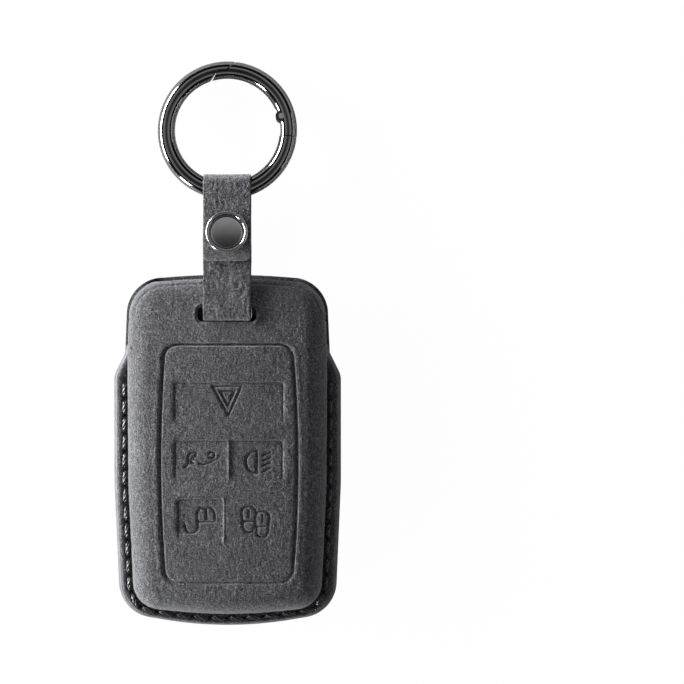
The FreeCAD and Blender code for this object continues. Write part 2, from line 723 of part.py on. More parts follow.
def build_ring(nodes, place):
    torus = Part.makeTorus(RING_RADIUS, WIRE_RADIUS)
    far = 2 * RING_RADIUS
    lap = lap_chain()
    deep = 2 * WIRE_RADIUS
    tail = polar(far, TAIL_ANGLE)
    around = [Vector(0, 0, 0), tail, Vector(far, far, 0)]
    gate = torus.common(polygon_prism(lap + around, -deep, deep))
    body_lap = shift_chain(lap, LAP_GAPS)
    body_tail = polar(far, TAIL_ANGLE - math.degrees(TAIL_GAP / RING_RADIUS))
    around = [Vector(0, 0, 0), body_tail, Vector(far, -far, 0), Vector(-far, -far, 0)]
    around += [Vector(-far, far, 0), Vector(body_lap[0].x, far, 0)]
    body = torus.common(polygon_prism(body_lap + around, -deep, deep))
    pin_at = Vector(PIN_X, PIN_Y, 0)
    knuckle = Part.makeCylinder(KNUCKLE_RADIUS, 2 * KNUCKLE_HALF, pin_at - Vector(0, 0, KNUCKLE_HALF))
    channel = sector(
        RING_INNER - 2 * KNUCKLE_RADIUS, RING_OUTER - CHANNEL_WALL, 2 * TAIL_ANGLE, CHANNEL_END_ANGLE,
        -CHANNEL_HALF, CHANNEL_HALF,
    )
    pin_hole = Part.makeCylinder(PIN_RADIUS, 2 * deep, pin_at - Vector(0, 0, deep))
    head_room = PIN_HEAD_RADIUS + PIN_FIT
    head_seats = [
        Part.makeCylinder(head_room, deep, pin_at + Vector(0, 0, KNUCKLE_HALF)),
        Part.makeCylinder(head_room, deep, pin_at - Vector(0, 0, KNUCKLE_HALF + deep)),
    ]
    nodes["ring_gate"] = placed(gate.fuse(knuckle).cut([channel, pin_hole] + head_seats), place)
    tongue = sector(
        RING_INNER + TONGUE_CLEARANCE, RING_OUTER - CHANNEL_WALL - TONGUE_CLEARANCE, 1.5 * TAIL_ANGLE,
        math.degrees(math.atan2(PIN_Y, PIN_X)), TONGUE_LOW, TONGUE_HIGH,
    )
    boss_radius = KNUCKLE_RADIUS - TONGUE_CLEARANCE
    boss = Part.makeCylinder(boss_radius, TONGUE_HIGH - TONGUE_LOW, pin_at + Vector(0, 0, TONGUE_LOW))
    fit = Part.makeCylinder(PIN_RADIUS + PIN_FIT, 2 * deep, pin_at - Vector(0, 0, deep))
    nodes["ring_body"] = placed(body.fuse([tongue, boss]).cut(fit).removeSplitter(), place)
    pin = Part.makeCylinder(PIN_RADIUS, 2 * KNUCKLE_HALF, pin_at - Vector(0, 0, KNUCKLE_HALF))
    heads = [
        Part.makeCylinder(PIN_HEAD_RADIUS, PIN_HEAD, pin_at + Vector(0, 0, KNUCKLE_HALF)),
        Part.makeCylinder(PIN_HEAD_RADIUS, PIN_HEAD, pin_at - Vector(0, 0, KNUCKLE_HALF + PIN_HEAD)),
    ]
    nodes["gate_pin"] = placed(pin.fuse(heads), place)
    nodes["gate_spring"] = placed(coil_spring(), place)


def main():
    nodes = {}
    route = strap_route()
    place, far_edge = ring_place(route)
    build_shells(nodes)
    build_strap(nodes, route)
    build_snap(nodes, route)
    build_ring(nodes, place)
    to_origin = Vector(0, -far_edge / 2, 0)
    os.makedirs("parts", exist_ok=True)
    for name, shape in nodes.items():
        moved = shape.copy()
        moved.translate(to_origin)
        moved.exportStep("parts/" + name + ".step")
        print(name, moved.isValid(), len(moved.Solids), round(moved.Volume, 2))


main()
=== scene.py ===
import math

import bmesh
import bpy
import numpy as np
from mathutils import Matrix, Vector


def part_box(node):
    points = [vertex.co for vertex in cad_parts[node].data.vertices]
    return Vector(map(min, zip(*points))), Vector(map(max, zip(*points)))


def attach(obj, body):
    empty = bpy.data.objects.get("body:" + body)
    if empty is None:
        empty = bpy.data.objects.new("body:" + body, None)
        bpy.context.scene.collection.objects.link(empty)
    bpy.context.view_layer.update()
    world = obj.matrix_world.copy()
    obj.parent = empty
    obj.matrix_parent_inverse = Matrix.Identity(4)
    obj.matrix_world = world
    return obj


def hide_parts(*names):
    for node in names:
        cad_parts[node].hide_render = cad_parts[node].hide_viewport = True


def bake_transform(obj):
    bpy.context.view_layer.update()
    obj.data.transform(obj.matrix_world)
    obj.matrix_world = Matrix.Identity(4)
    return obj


# The looks of a suede key fob cover that lies on its back, with its snap strap and spring-gate ring.
# Geometry is worked out in millimetres, in the frame's axes but with Y from the cover's bottom edge,
# and becomes metres in the frame when a mesh is made.

MM = 0.001
SHARP = math.radians(48)

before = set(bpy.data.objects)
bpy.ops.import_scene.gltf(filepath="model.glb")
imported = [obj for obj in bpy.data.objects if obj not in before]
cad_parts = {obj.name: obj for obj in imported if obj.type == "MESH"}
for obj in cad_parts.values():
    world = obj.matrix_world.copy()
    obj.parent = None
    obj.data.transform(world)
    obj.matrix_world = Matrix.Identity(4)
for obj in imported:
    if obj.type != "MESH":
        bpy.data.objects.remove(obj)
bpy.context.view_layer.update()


def box_mm(node):
    low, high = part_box(node)
    return np.array(low) / MM, np.array(high) / MM


BASE_Y = box_mm("edge_coating")[0][1]

# ---- the cover's plan and section, as the solids have them
COVER_LENGTH = 101.1
TOP_HALF = 28.5
UPPER_HALF = 29.4
RIM_HALF = 32.6
BOTTOM_HALF = 31.0
SHOULDER_IN = 22.5
SHOULDER_OUT = 29.0
KNEE = 60.0
TOP_CROWN = (200.0, 5.0)  # radius and half angle
RIM_CROWN = (110.0, 9.5)
BULGE_CROWN = (150.0, 6.0)
CORNER_RADIUS = 10.5
BULGE_CORNER_RADIUS = 8.0
SHOULDER_RADIUS = 6.0
SIDE_RADIUS = 60.0
MOUTH_SIDES = (24.4, 18.6)  # where the mouth's rise starts and is full, from the middle
SIDE_RIM = 4.2
BOTTOM_RIM = 3.7
FRONT_STEP = (0.9, 0.4)  # the front's rim inside the back's, at the sides and the bottom
FRONT_TOP_STEP = 0.7  # the front's top edge below the back's
PARTING = 7.9
THICKNESS = 17.8
SUEDE = 1.0
LAMINATE = 1.8
BLEND_RADIUS = 60.0
EXTRA_INSET = 0.6  # of the flat field inside the rounded edge
CREASE_INSET = 1.5  # of the dotted crease from the front's outline
CROWN_FALL = 1.7  # of the faces, over half the cover's width

# ---- strap
STRAP = 1.4
STRAP_SUEDE = 0.8
STRAP_HALF = 6.8
STRAP_BEND = 1.3
STRAP_SLOPE = 13.0
STRAP_TO_COVER = 0.15
SLOT = (8.4, 2.15, 1.5)  # half width, half length, corner
BACK_SLOT = (6.88, 2.15, 0.3)
SLOT_DOWN = 10.95
STRAP_IN_SLOT = 0.35
DROOP = 2.1  # of the flap's end, over its last stretch
DROOP_LENGTH = 4.6
# Taken off at the flap's end: from the suede's face, the glue line and the lining's face.
SKIVED = (0.75, 0.15, 0.3)
# Taken off where the ring pulls the strap: from the outside and the glue line.
THINNED = (1.0, 0.45)
SNAP_GAP = 2.0
LOOP_ABOVE_COVER = 24.9
FLAP_LENGTH = 21.6
STUD_FROM_FLAP_END = 7.7
STRAP_TAIL = 6.2
RING_RADIUS = 17.5
WIRE_RADIUS = 2.5
RING_IN_LOOP = 0.05

# ---- seam
STITCH_INSET = (3.1, 2.1)  # of the seam from the rim's edge, at the sides and the bottom
STITCH_START = 30.3  # down from the top edge
STITCH_COUNT = 36


# ------------------------------------------------------------------ small helpers
def smooth(low, high, value):
    t = np.clip((value - low) / (high - low), 0.0, 1.0)
    return t * t * (3 - 2 * t)


def hump(value, width):
    """A bell curve, 1 at 0."""
    return np.exp(-((value / width) ** 2))


def lengths(points):
    """How far along a run of points each one lies."""
    return np.concatenate([[0], np.cumsum(np.hypot(*np.diff(points, axis=0).T))])


def rounded_box(x, y, half_x, half_y, radius):
    """Signed distance to a rounded rectangle, negative inside."""
    qx = np.abs(x) - half_x + radius
    qy = np.abs(y) - half_y + radius
    outside = np.hypot(np.maximum(qx, 0), np.maximum(qy, 0))
    return outside + np.minimum(np.maximum(qx, qy), 0) - radius


def stroke(x, y, points):
    """Distance to a polyline."""
    nearest = np.full(np.shape(x), 1e9)
    for (ax, ay), (bx, by) in zip(points, points[1:]):
        dx, dy = bx - ax, by - ay
        along = (x - ax) * dx + (y - ay) * dy
        t = np.clip(along / max(dx * dx + dy * dy, 1e-9), 0, 1)
        nearest = np.minimum(nearest, np.hypot(x - ax - t * dx, y - ay - t * dy))
    return nearest


def arc(centre, radius, start, end, steps=14):
    angles = np.radians(np.linspace(start, end, steps))
    return [(centre[0] + radius * math.cos(a), centre[1] + radius * math.sin(a)) for a in angles]


LATTICE_SIZE = 64
LATTICE = np.random.default_rng(7).random((LATTICE_SIZE,) * 3)


def fuzz(points, size):
    """Smooth value noise from -1 to 1 at points, with lumps of about that size."""
    p = points / size
    cell = np.floor(p).astype(int)
    f = p - cell
    f = f * f * (3 - 2 * f)
    total = np.zeros(len(p))
    for corner in np.ndindex(2, 2, 2):
        weight = np.prod([f[:, k] if corner[k] else 1 - f[:, k] for k in range(3)], axis=0)
        total += weight * LATTICE[tuple(((cell + corner) % LATTICE_SIZE).T)]
    return 2 * total - 1


def add_object(name, data):
    thing = bpy.data.objects.new(name, data)
    bpy.context.scene.collection.objects.link(thing)
    return thing


def make_mesh(name, verts, faces, body, material, slot, replaces):
    """A smooth mesh piece from millimetre points with Y from the cover's bottom edge."""
    points = np.array(verts, float)
    points[:, 1] += BASE_Y
    mesh = bpy.data.meshes.new(name)
    mesh.from_pydata((points * MM).tolist(), [], [list(map(int, f)) for f in faces])
    bm = bmesh.new()
    bm.from_mesh(mesh)
    bmesh.ops.remove_doubles(bm, verts=bm.verts, dist=1e-7)
    bmesh.ops.recalc_face_normals(bm, faces=bm.faces)
    bm.to_mesh(mesh)
    bm.free()
    mesh.shade_smooth()
    mesh.set_sharp_from_angle(angle=SHARP)
    piece = add_object(name, mesh)
    mesh.materials.append(material)
    if body:
        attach(piece, body)
    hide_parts(*replaces)
    return piece


class Parts:
    """Vertices and faces of several closed forms that make one piece."""

    def __init__(self):
        self.verts = []
        self.faces = []
        self.count = 0

    def add(self, verts, faces):
        self.faces.extend([tuple(i + self.count for i in f) for f in faces])
        self.verts.append(np.asarray(verts, float))
        self.count += len(verts)

    def points(self):
        return np.vstack(self.verts)


def ring_quads(rows, columns):
    """Faces between that many closed rings of points, numbered ring by ring."""
    faces = []
    for start in range(0, (rows - 1) * columns, columns):
        for j in range(columns):
            k = (j + 1) % columns
            faces.append((start + j, start + k, start + columns + k, start + columns + j))
    return faces


def loft(sections):
    """A closed form through equal closed sections, an array (sections, points, 3)."""
    rows, columns = sections.shape[:2]
    faces = ring_quads(rows, columns)
    faces.append(tuple(range(columns - 1, -1, -1)))
    faces.append(tuple(range((rows - 1) * columns, rows * columns)))
    return sections.reshape(-1, 3), faces


# ------------------------------------------------------------------ plan outlines
def crown(radius, angle):
    return radius * (1 / math.cos(math.radians(angle)) - 1)


def rim_plan(step, bottom_step, wall_half):
    """Right half of the stitched rim: (x, y, corner radius) from the bottom up."""
    bottom = -crown(*RIM_CROWN)
    corner = bottom + BOTTOM_HALF * math.tan(math.radians(RIM_CROWN[1]))
    half = RIM_HALF - step
    return [
        (0, bottom + bottom_step, RIM_CROWN[0]),
        (BOTTOM_HALF - step, corner + bottom_step, CORNER_RADIUS),
        (half, COVER_LENGTH - KNEE, SIDE_RADIUS),
        (half, COVER_LENGTH - SHOULDER_OUT, SHOULDER_RADIUS),
        (wall_half, COVER_LENGTH - SHOULDER_IN, SHOULDER_RADIUS),
        (wall_half - 1.0, COVER_LENGTH - SHOULDER_IN + 6.0, 1.0),
    ]


def bulge_plan(top_step, side_step):
    """Right half of a raised shell's outline."""
    bottom = BOTTOM_RIM - crown(*BULGE_CROWN)
    half = BOTTOM_HALF - SIDE_RIM
    top = COVER_LENGTH - top_step + crown(*TOP_CROWN)
    top_half = TOP_HALF - side_step
    return [
        (0, bottom, BULGE_CROWN[0]),
        (half, bottom + half * math.tan(math.radians(BULGE_CROWN[1])), BULGE_CORNER_RADIUS),
        (RIM_HALF - SIDE_RIM, COVER_LENGTH - KNEE, SIDE_RADIUS),
        (UPPER_HALF - side_step, COVER_LENGTH - SHOULDER_IN, SIDE_RADIUS),
        (top_half, top - top_half * math.tan(math.radians(TOP_CROWN[1])), CORNER_RADIUS),
        (0, top, TOP_CROWN[0]),
    ]


def outline(right):
    """Dense points and inward normals round an outline, and the index of each corner's middle."""
    left = [(-x, y, r) for x, y, r in reversed(right) if x > 0]
    corners = right + left
    xy = np.array([c[:2] for c in corners], float)
    points, normals, middles = [], [], []
    for i, (_, _, radius) in enumerate(corners):
        into = xy[i] - xy[i - 1]
        out = xy[(i + 1) % len(xy)] - xy[i]
        into /= np.linalg.norm(into)
        out /= np.linalg.norm(out)
        turn = math.atan2(into[0] * out[1] - into[1] * out[0], into @ out)
        side = math.copysign(1.0, turn)
        start = xy[i] - into * radius * math.tan(abs(turn) / 2)
        left_of = np.array([-into[1], into[0]])
        centre = start + left_of * side * radius
        steps = max(4, int(radius * abs(turn) / 0.1))
        middles.append(len(points) + steps // 2)
        for k in range(steps + 1):
            angle = turn * k / steps
            spin = np.array([[math.cos(angle), -math.sin(angle)], [math.sin(angle), math.cos(angle)]])
            normal = spin @ left_of
            points.append(centre - normal * side * radius)
            normals.append(normal)
    return np.array(points), np.array(normals), middles


def resample(points, normals, count):
    """count + 1 even steps along an open run of points."""
    along = lengths(points)
    at = np.linspace(0, along[-1], count + 1)
    mixed = [np.interp(at, along, column) for column in (*points.T, *normals.T)]
    normal = np.array(mixed[2:]).T
    return np.array(mixed[:2]).T, normal / np.linalg.norm(normal, axis=1)[:, None]


def ring_of(right, across, along):
    """Points and inward normals from the bottom-left corner's middle round the outline."""
    points, normals, middles = outline(right)
    count = len(middles)
    ends = [middles[count - 1], middles[1], middles[4], middles[count - 4], middles[count - 1]]
    sides = []
    for start, end, steps in zip(ends, ends[1:], (across, along, across, along)):
        if end > start:
            index = np.arange(start, end + 1)
        else:
            index = np.concatenate([np.arange(start, len(points)), np.arange(0, end + 1)])
        side_points, side_normals = resample(points[index], normals[index], steps)
        sides.append((side_points[:-1], side_normals[:-1]))
    return np.vstack([s[0] for s in sides]), np.vstack([s[1] for s in sides])


def reach_to(points, outward, right):
    """How far out from each point an outline lies."""
    edge = outline(right)[0]
    a = edge
    b = np.roll(edge, -1, axis=0)
    run = b - a
    best = np.zeros(len(points))
    for i, (p, d) in enumerate(zip(points, outward)):
        cross = d[0] * run[:, 1] - d[1] * run[:, 0]
        cross[np.abs(cross) < 1e-12] = 1e-12
        gap = a - p
        t = (gap[:, 0] * run[:, 1] - gap[:, 1] * run[:, 0]) / cross
        u = (gap[:, 0] * d[1] - gap[:, 1] * d[0]) / cross
        hits = t[(u >= -1e-9) & (u <= 1 + 1e-9) & (t > 0) & (t < 9)]
        if len(hits):
            best[i] = hits.min()
    return best


# ------------------------------------------------------------------ shells
class Half:
    """One moulded half. Heights are measured from the parting plane outwards."""

    def __init__(self, top_step, side_step, depth, slope, slope_length, edge_radius, mouth, slot, outwards):
        self.plan = bulge_plan(top_step, side_step)
        self.depth = depth
        self.slope = math.radians(slope)
        self.break_y = COVER_LENGTH - slope_length
        self.edge_radius = edge_radius
        self.mouth = mouth
        self.slot = slot
        self.outwards = outwards

    def top(self, y):
        """Height of the moulded face, and its downward slope towards the ring."""
        reach = BLEND_RADIUS * math.tan(self.slope / 2)
        start = self.break_y - reach
        end = self.break_y + reach * math.cos(self.slope)
        into = np.clip(y - start, 0, end - start)
        drop = BLEND_RADIUS - np.sqrt(BLEND_RADIUS**2 - into**2)
        drop = drop + np.maximum(y - end, 0) * math.tan(self.slope)
        tilt = np.arcsin(np.clip(into / BLEND_RADIUS, 0, math.sin(self.slope)))
        return self.depth - drop, np.tan(tilt)

    def low_edge(self, x, at_top):
        """Where the wall starts: the parting plane, or the mouth's edge."""
        rise = self.mouth * smooth(*MOUTH_SIDES, np.abs(x))
        return np.where(at_top, rise, 0.0)

    def place(self, plan, height):
        z = PARTING + self.outwards * height
        return np.column_stack([plan, z])

    def sheet(self, ring, inset, across, along, shares, step):
        """Rings up the wall and over the edge, then the field inside them.

        Gives points, faces, which points stay clear of the strap's slot, each point's way up from the
        wall's foot (a large number in the field) and its place along the seam.
        """
        base, normal = ring
        radius = self.edge_radius
        inner_radius = radius - inset
        flat, tilt = self.top(base[:, 1] + normal[:, 1] * radius)
        centre = flat - radius * np.sqrt(1 + tilt**2)
        low = self.low_edge(base[:, 0], normal[:, 1] < FACES_RING)
        over = np.clip((low - centre) / inner_radius, 0, 1)
        first = np.where(low <= centre, low, centre + inner_radius * np.arcsin(over))
        last = centre + inner_radius * math.pi / 2
        rows, ways = [], []
        for share in shares:
            path = first + (last - first) * share
            angle = np.clip((path - centre) / inner_radius, 0, math.pi / 2)
            plan = base + normal * (radius - inner_radius * np.cos(angle))[:, None]
            side_lift = np.sqrt(1 + (tilt * normal[:, 0]) ** 2)
            height = centre + inner_radius * np.sin(angle) * side_lift
            height = np.where(path < centre, path, height)
            touch = inner_radius * np.sin(np.arctan(tilt)) * np.maximum(-normal[:, 1], 0)
            height = np.where(inner_radius * np.cos(angle) <= touch, self.face(plan, inset), height)
            rows.append((plan, self.crowned(plan, height)))
            ways.append(path - first)
        for extra in (0.5, 1.0):
            plan = base + normal * (radius + EXTRA_INSET * extra)
            rows.append((plan, self.crowned(plan, self.face(plan, inset))))
            ways.append(np.full(len(base), IN_FIELD))
        count = len(base)
        grid, inside = field_grid(rows[-1][0], (len(rows) - 1) * count, len(rows) * count, across, along)
        inside, clear = clear_of_slot(inside, step, self.slot)
        rows.append((inside, self.crowned(inside, self.face(inside, inset))))
        verts = np.vstack([self.place(plan, height) for plan, height in rows])
        faces = ring_quads(len(rows) - 1, count)
        for j in range(along):
            for i in range(across):
                faces.append((grid[j, i], grid[j, i + 1], grid[j + 1, i + 1], grid[j + 1, i]))
        keep = np.concatenate([np.full(len(verts) - len(inside), True), clear])
        way = np.concatenate(ways + [np.full(len(inside), IN_FIELD)])
        place = np.tile(seam_place(base), len(rows) - 1)
        place = np.concatenate([place, np.full(len(inside), OFF_SEAM)])
        return verts, faces, keep, way, place

    def crowned(self, plan, height):
        """The moulded face falls a little towards the sides."""
        share = smooth(0.3 * self.depth, self.depth, height)
        return height - CROWN_FALL * share * (plan[:, 0] / UPPER_HALF) ** 2

    def face(self, plan, inset):
        """Height of the moulded face, or of a layer that far under it."""
        top, tilt = self.top(plan[:, 1])
        return top - inset * np.sqrt(1 + tilt**2)


IN_FIELD = 999.0  # the way up the wall of a point in the field
OFF_SEAM = -99.0  # the place along the seam of a point that has none
FACES_RING = -0.3  # inward normals below this belong to the edge towards the ring
FRONT = Half(
    top_step=FRONT_TOP_STEP, side_step=0.8, depth=9.9, slope=10.0, slope_length=19.9,
    edge_radius=6.2, mouth=3.2, slot=SLOT, outwards=1,
)
BACK = Half(
    top_step=0.0, side_step=0.0, depth=PARTING, slope=8.0, slope_length=25.8,
    edge_radius=3.8, mouth=2.0, slot=BACK_SLOT, outwards=-1,
)


def field_grid(edge, start, first_inside, across, along):
    """Point numbers of a grid within a ring that starts at number start, and its inside points."""
    count = 2 * (across + along)
    grid = np.zeros((along + 1, across + 1), int)
    grid[0, :] = start + np.arange(across + 1)
    grid[:, across] = start + across + np.arange(along + 1)
    grid[along, :] = start + 2 * across + along - np.arange(across + 1)
    grid[:, 0] = start + (count - np.arange(along + 1)) % count
    bottom, right = edge[grid[0, :] - start], edge[grid[:, across] - start]
    top, left = edge[grid[along, :] - start], edge[grid[:, 0] - start]
    u = np.linspace(0, 1, across + 1)[None, :, None]
    v = np.linspace(0, 1, along + 1)[:, None, None]
    patch = (1 - v) * bottom[None] + v * top[None] + (1 - u) * left[:, None] + u * right[:, None]
    patch = patch - (1 - u) * (1 - v) * bottom[0] - u * (1 - v) * bottom[-1]
    patch = patch - (1 - u) * v * top[0] - u * v * top[-1]
    grid[1:-1, 1:-1] = first_inside + np.arange((along - 1) * (across - 1)).reshape(along - 1, across - 1)
    return grid, patch[1:-1, 1:-1].reshape(-1, 2)


def clear_of_slot(plan, step, slot):
    """Draws the points next to the strap's slot onto its edge, and tells which lie outside it."""
    away = slot_distance(plan, slot)
    near = (away > -step) & (away < 0.45 * step)
    tiny = 1e-4
    slope_x = (slot_distance(plan + [tiny, 0], slot) - away) / tiny
    slope_y = (slot_distance(plan + [0, tiny], slot) - away) / tiny
    moved = plan.copy()
    moved[near, 0] -= (slope_x * away)[near]
    moved[near, 1] -= (slope_y * away)[near]
    return moved, away > -step


def slot_distance(plan, slot):
    slot_y = COVER_LENGTH - SLOT_DOWN
    return rounded_box(plan[:, 0], plan[:, 1] - slot_y, *slot)


def slab(outer, inner, faces, keep):
    """A skin between two sheets of the same layout, with the faces outside keep cut away."""
    count = len(outer)
    kept = [f for f in faces if keep[list(f)].all()]
    edges = {}
    for f in kept:
        for a, b in zip(f, f[1:] + f[:1]):
            edges[(a, b)] = edges.get((a, b), 0) + 1
    all_faces = kept + [tuple(i + count for i in reversed(f)) for f in kept]
    for a, b in edges:
        if (b, a) not in edges:
            all_faces.append((b, a, a + count, b + count))
    used = sorted({i for f in all_faces for i in f})
    number = {old: new for new, old in enumerate(used)}
    verts = np.vstack([outer, inner])[used]
    return verts, [tuple(number[i] for i in f) for f in all_faces]


# ------------------------------------------------------------------ embossing
# Places on the button field, in millimetres from its middle, X to the right and Y towards the ring.
PANEL_X, PANEL_Y = 0.35, 47.4
PANEL = (18.6, 34.7, 4.0)  # half width, half length, corner
PANEL_BOW = 1.6  # of its sides, outwards
STROKE = 0.58
HAZARD = [(-4.4, 22.2), (3.9, 22.2), (0.1, 13.9)]
# Left, right, low and high edge of each pad, then the place, low and high end of each ridge.
PADS = [(-15.4, 15.9, 11.6, 23.4), (-15.3, 15.75, -4.85, 6.75), (-14.4, -1.3, -21.6, -10.1)]
RIDGES = [(0.1, -4.85, 6.75), (-1.3, -22.8, -9.9)]


def shrunk(points, share):
    centre = np.mean(points, axis=0)
    return [tuple(centre + (np.array(p) - centre) * share) for p in points]


def closed(points):
    return list(points) + [points[0]]


def symbols():
    """Strokes of the generic key symbols: hazard triangles, car with its boot open, lamp and padlocks."""
    lines = [closed(HAZARD), closed(shrunk(HAZARD, 0.52))]
    car = [(-12.6, -1.1), (-11.3, 0.0), (-11.5, 1.8), (-10.9, 3.0), (-9.8, 3.5), (-9.1, 2.9), (-9.4, 2.1)]
    sill = [(-8.2, 0.0), (-7.1, -0.2), (-5.8, 0.0), (-4.3, 0.9), (-3.0, 1.5), (-2.5, 2.4)]
    lines += [car, sill, arc((-9.9, 0.9), 0.8, 90, 270, 8), arc((-4.7, 2.5), 0.85, -130, 160, 10)]
    lines += [arc((8.4, 0.5), 3.35, 98, 262) + [(8.3, 3.8)], [(8.3, -2.8), (8.3, 3.8)]]
    lines += [[(10.0, y), (12.1, y + 1.0)] for y in (2.4, 0.9, -0.6, -2.2)]
    body = [(-8.9, -16.4), (-8.9, -14.0), (-7.9, -12.6), (-6.4, -12.9), (-5.2, -12.5), (-3.9, -13.8)]
    lines += [body + [(-3.8, -16.6), (-8.6, -16.7)], [(-6.3, -13.1), (-6.2, -15.9)]]
    lines += [[(-8.8, -16.0), (-8.6, -18.0)] + arc((-10.5, -18.0), 1.9, 0, -150) + [(-12.6, -17.2)]]
    for x, y in ((5.9, -14.2), (9.8, -15.6)):
        lines.append(closed(arc((x, y), 2.1, -30, 210) + [(x - 1.9, y - 2.3), (x + 1.9, y - 2.3)]))
        lines.append([(x - 1.7, y - 2.4)] + arc((x, y - 3.8), 1.7, 180, 360) + [(x + 1.7, y - 2.4)])
        lines.append([(x, y + 0.7), (x, y - 1.0)])
    return lines


def panel_relief(plan):
    """Depth of the pressed-in field: outline groove, button pads and symbols."""
    x = plan[:, 0] - PANEL_X
    y = plan[:, 1] - PANEL_Y
    bow = 1 + PANEL_BOW / PANEL[0] * (1 - np.clip(y / PANEL[1], -1, 1) ** 2)
    edge = rounded_box(x / bow, y, *PANEL)
    fade = 0.3 + 0.7 * smooth(-PANEL[1] - 0.5, -PANEL[1] + 6.0, y)
    depth = -1.1 * fade * np.clip(1.45 - np.abs(edge + 0.5) / 0.45, 0, 1)
    depth += 0.08 * hump(edge - 0.75, 0.55) - 0.06 * smooth(0.2, -0.8, edge)
    for left, right, low, high in PADS:
        middle_x, middle_y = (left + right) / 2, (low + high) / 2
        pad = rounded_box(x - middle_x, y - middle_y, (right - left) / 2, (high - low) / 2, 1.1)
        soft = 0.35 + 0.65 * smooth(low - 0.2, low + 3.5, y)
        depth -= soft * (0.28 * smooth(0.15, -0.2, pad) + 0.14 * smooth(1.3, 0.1, pad))
        depth -= 0.2 * soft * hump(pad + 0.05, 0.24)
    for at, low, high in RIDGES:
        inside = smooth(low - 0.3, low + 0.8, y) * smooth(high + 0.3, high - 0.4, y)
        depth += 0.34 * inside * hump(x - at, 0.3)
    line = np.full(len(plan), 1e9)
    for points in symbols():
        line = np.minimum(line, stroke(x, y, points))
    depth -= 0.62 * smooth(STROKE / 2 + 0.2, STROKE / 2 - 0.2, line)
    filled = shrunk(HAZARD, 0.30)
    depth -= 0.2 * smooth(1.0, 0.2, stroke(x, y, closed(filled)))
    return depth


def lip(plan, slot):
    """The slot's raised, rolled-in edge."""
    away = slot_distance(plan, slot)
    return 0.22 * hump(away - 0.8, 0.35) - 0.45 * np.clip(1 - away / 0.5, 0, 1.4) ** 2


def nap(points, height, size=0.9):
    """The uneven face of brushed suede, with lumps of about that size."""
    lumps = 0.6 * fuzz(points, size) + 0.4 * fuzz(points + 31.7, size / 2)
    return height * (lumps + 0.5 * fuzz(points, 3.2))


# ------------------------------------------------------------------ seam line
def seam_inset(normals):
    """The seam's distance from the rim's edge, by the direction that the edge faces."""
    side, bottom = STITCH_INSET
    return side + (bottom - side) * smooth(0.35, 0.97, normals[:, 1])


def seam_line():
    """The stitching line from the left shoulder round the bottom to the right one."""
    points, normals, _ = outline(rim_plan(0.0, 0.0, UPPER_HALF))
    line = points + normals * seam_inset(normals)[:, None]
    top = COVER_LENGTH - STITCH_START
    keep = np.where(line[:, 1] < top)[0]
    split = np.where(np.diff(keep) > 1)[0]
    if len(split):
        keep = np.concatenate([keep[split[0] + 1:], keep[:split[0] + 1]])
    line = line[keep]
    side = RIM_HALF - STITCH_INSET[0]
    line = np.vstack([[-side, top], line, [side, top]])
    return line, lengths(line)


SEAM, SEAM_AT = seam_line()
PITCH = SEAM_AT[-1] / STITCH_COUNT


def on_seam(at):
    """Points on the seam at those lengths along it."""
    return np.column_stack([np.interp(at, SEAM_AT, SEAM[:, 0]), np.interp(at, SEAM_AT, SEAM[:, 1])])


def seam_place(plan):
    """How far along the seam the nearest point to each place lies."""
    fine = np.arange(-1.0, SEAM_AT[-1] + 1.0, 0.1)
    x, y = on_seam(fine).T
    nearest = [np.argmin((x - p[0]) ** 2 + (y - p[1]) ** 2) for p in plan]
    place = fine[nearest]
    above = plan[:, 1] > COVER_LENGTH - STITCH_START
    return np.where(above, OFF_SEAM, place)


def near_hole(place):
    """1 at a stitch hole, falling to 0 between holes and beyond the seam's ends."""
    to_hole = np.abs((place + PITCH / 2) % PITCH - PITCH / 2)
    return np.where(place == OFF_SEAM, 0.0, hump(to_hole, 0.85))


# ------------------------------------------------------------------ materials
def grey(value, blue=1.04):
    return (value, value, value * blue)


def set_inputs(node, values):
    for socket, value in values.items():
        node.inputs[socket].default_value = value


def new_material(name, level, inputs, blue=1.04):
    """A material of that grey, its nodes and its surface."""
    material = bpy.data.materials.new(name)
    material.use_nodes = True
    surface = material.node_tree.nodes["Principled BSDF"]
    set_inputs(surface, {"Base Color": (*grey(level, blue), 1), **inputs})
    return material, material.node_tree, surface


def noise(tree, size, detail=3.0, stretch=None):
    """A noise field with lumps of about that size in millimetres."""
    place = tree.nodes.new("ShaderNodeTexCoord").outputs["Object"]
    if stretch:
        mapping = tree.nodes.new("ShaderNodeMapping")
        set_inputs(mapping, {"Scale": stretch})
        tree.links.new(place, mapping.inputs["Vector"])
        place = mapping.outputs["Vector"]
    texture = tree.nodes.new("ShaderNodeTexNoise")
    set_inputs(texture, {"Scale": 1 / (size * MM), "Detail": detail, "Roughness": 0.6})
    tree.links.new(place, texture.inputs["Vector"])
    return texture.outputs["Fac"]


def ramp(tree, value, stops):
    node = tree.nodes.new("ShaderNodeValToRGB")
    node.color_ramp.elements[0].position = stops[0][0]
    node.color_ramp.elements[0].color = (*stops[0][1], 1)
    node.color_ramp.elements[1].position = stops[-1][0]
    node.color_ramp.elements[1].color = (*stops[-1][1], 1)
    for position, colour in stops[1:-1]:
        node.color_ramp.elements.new(position).color = (*colour, 1)
    tree.links.new(value, node.inputs["Fac"])
    return node.outputs["Color"]


def mixed(tree, kind, share, first, second):
    node = tree.nodes.new("ShaderNodeMix")
    node.data_type = "RGBA"
    node.blend_type = kind
    node.inputs["Factor"].default_value = share
    tree.links.new(first, node.inputs["A"])
    tree.links.new(second, node.inputs["B"])
    return node.outputs["Result"]


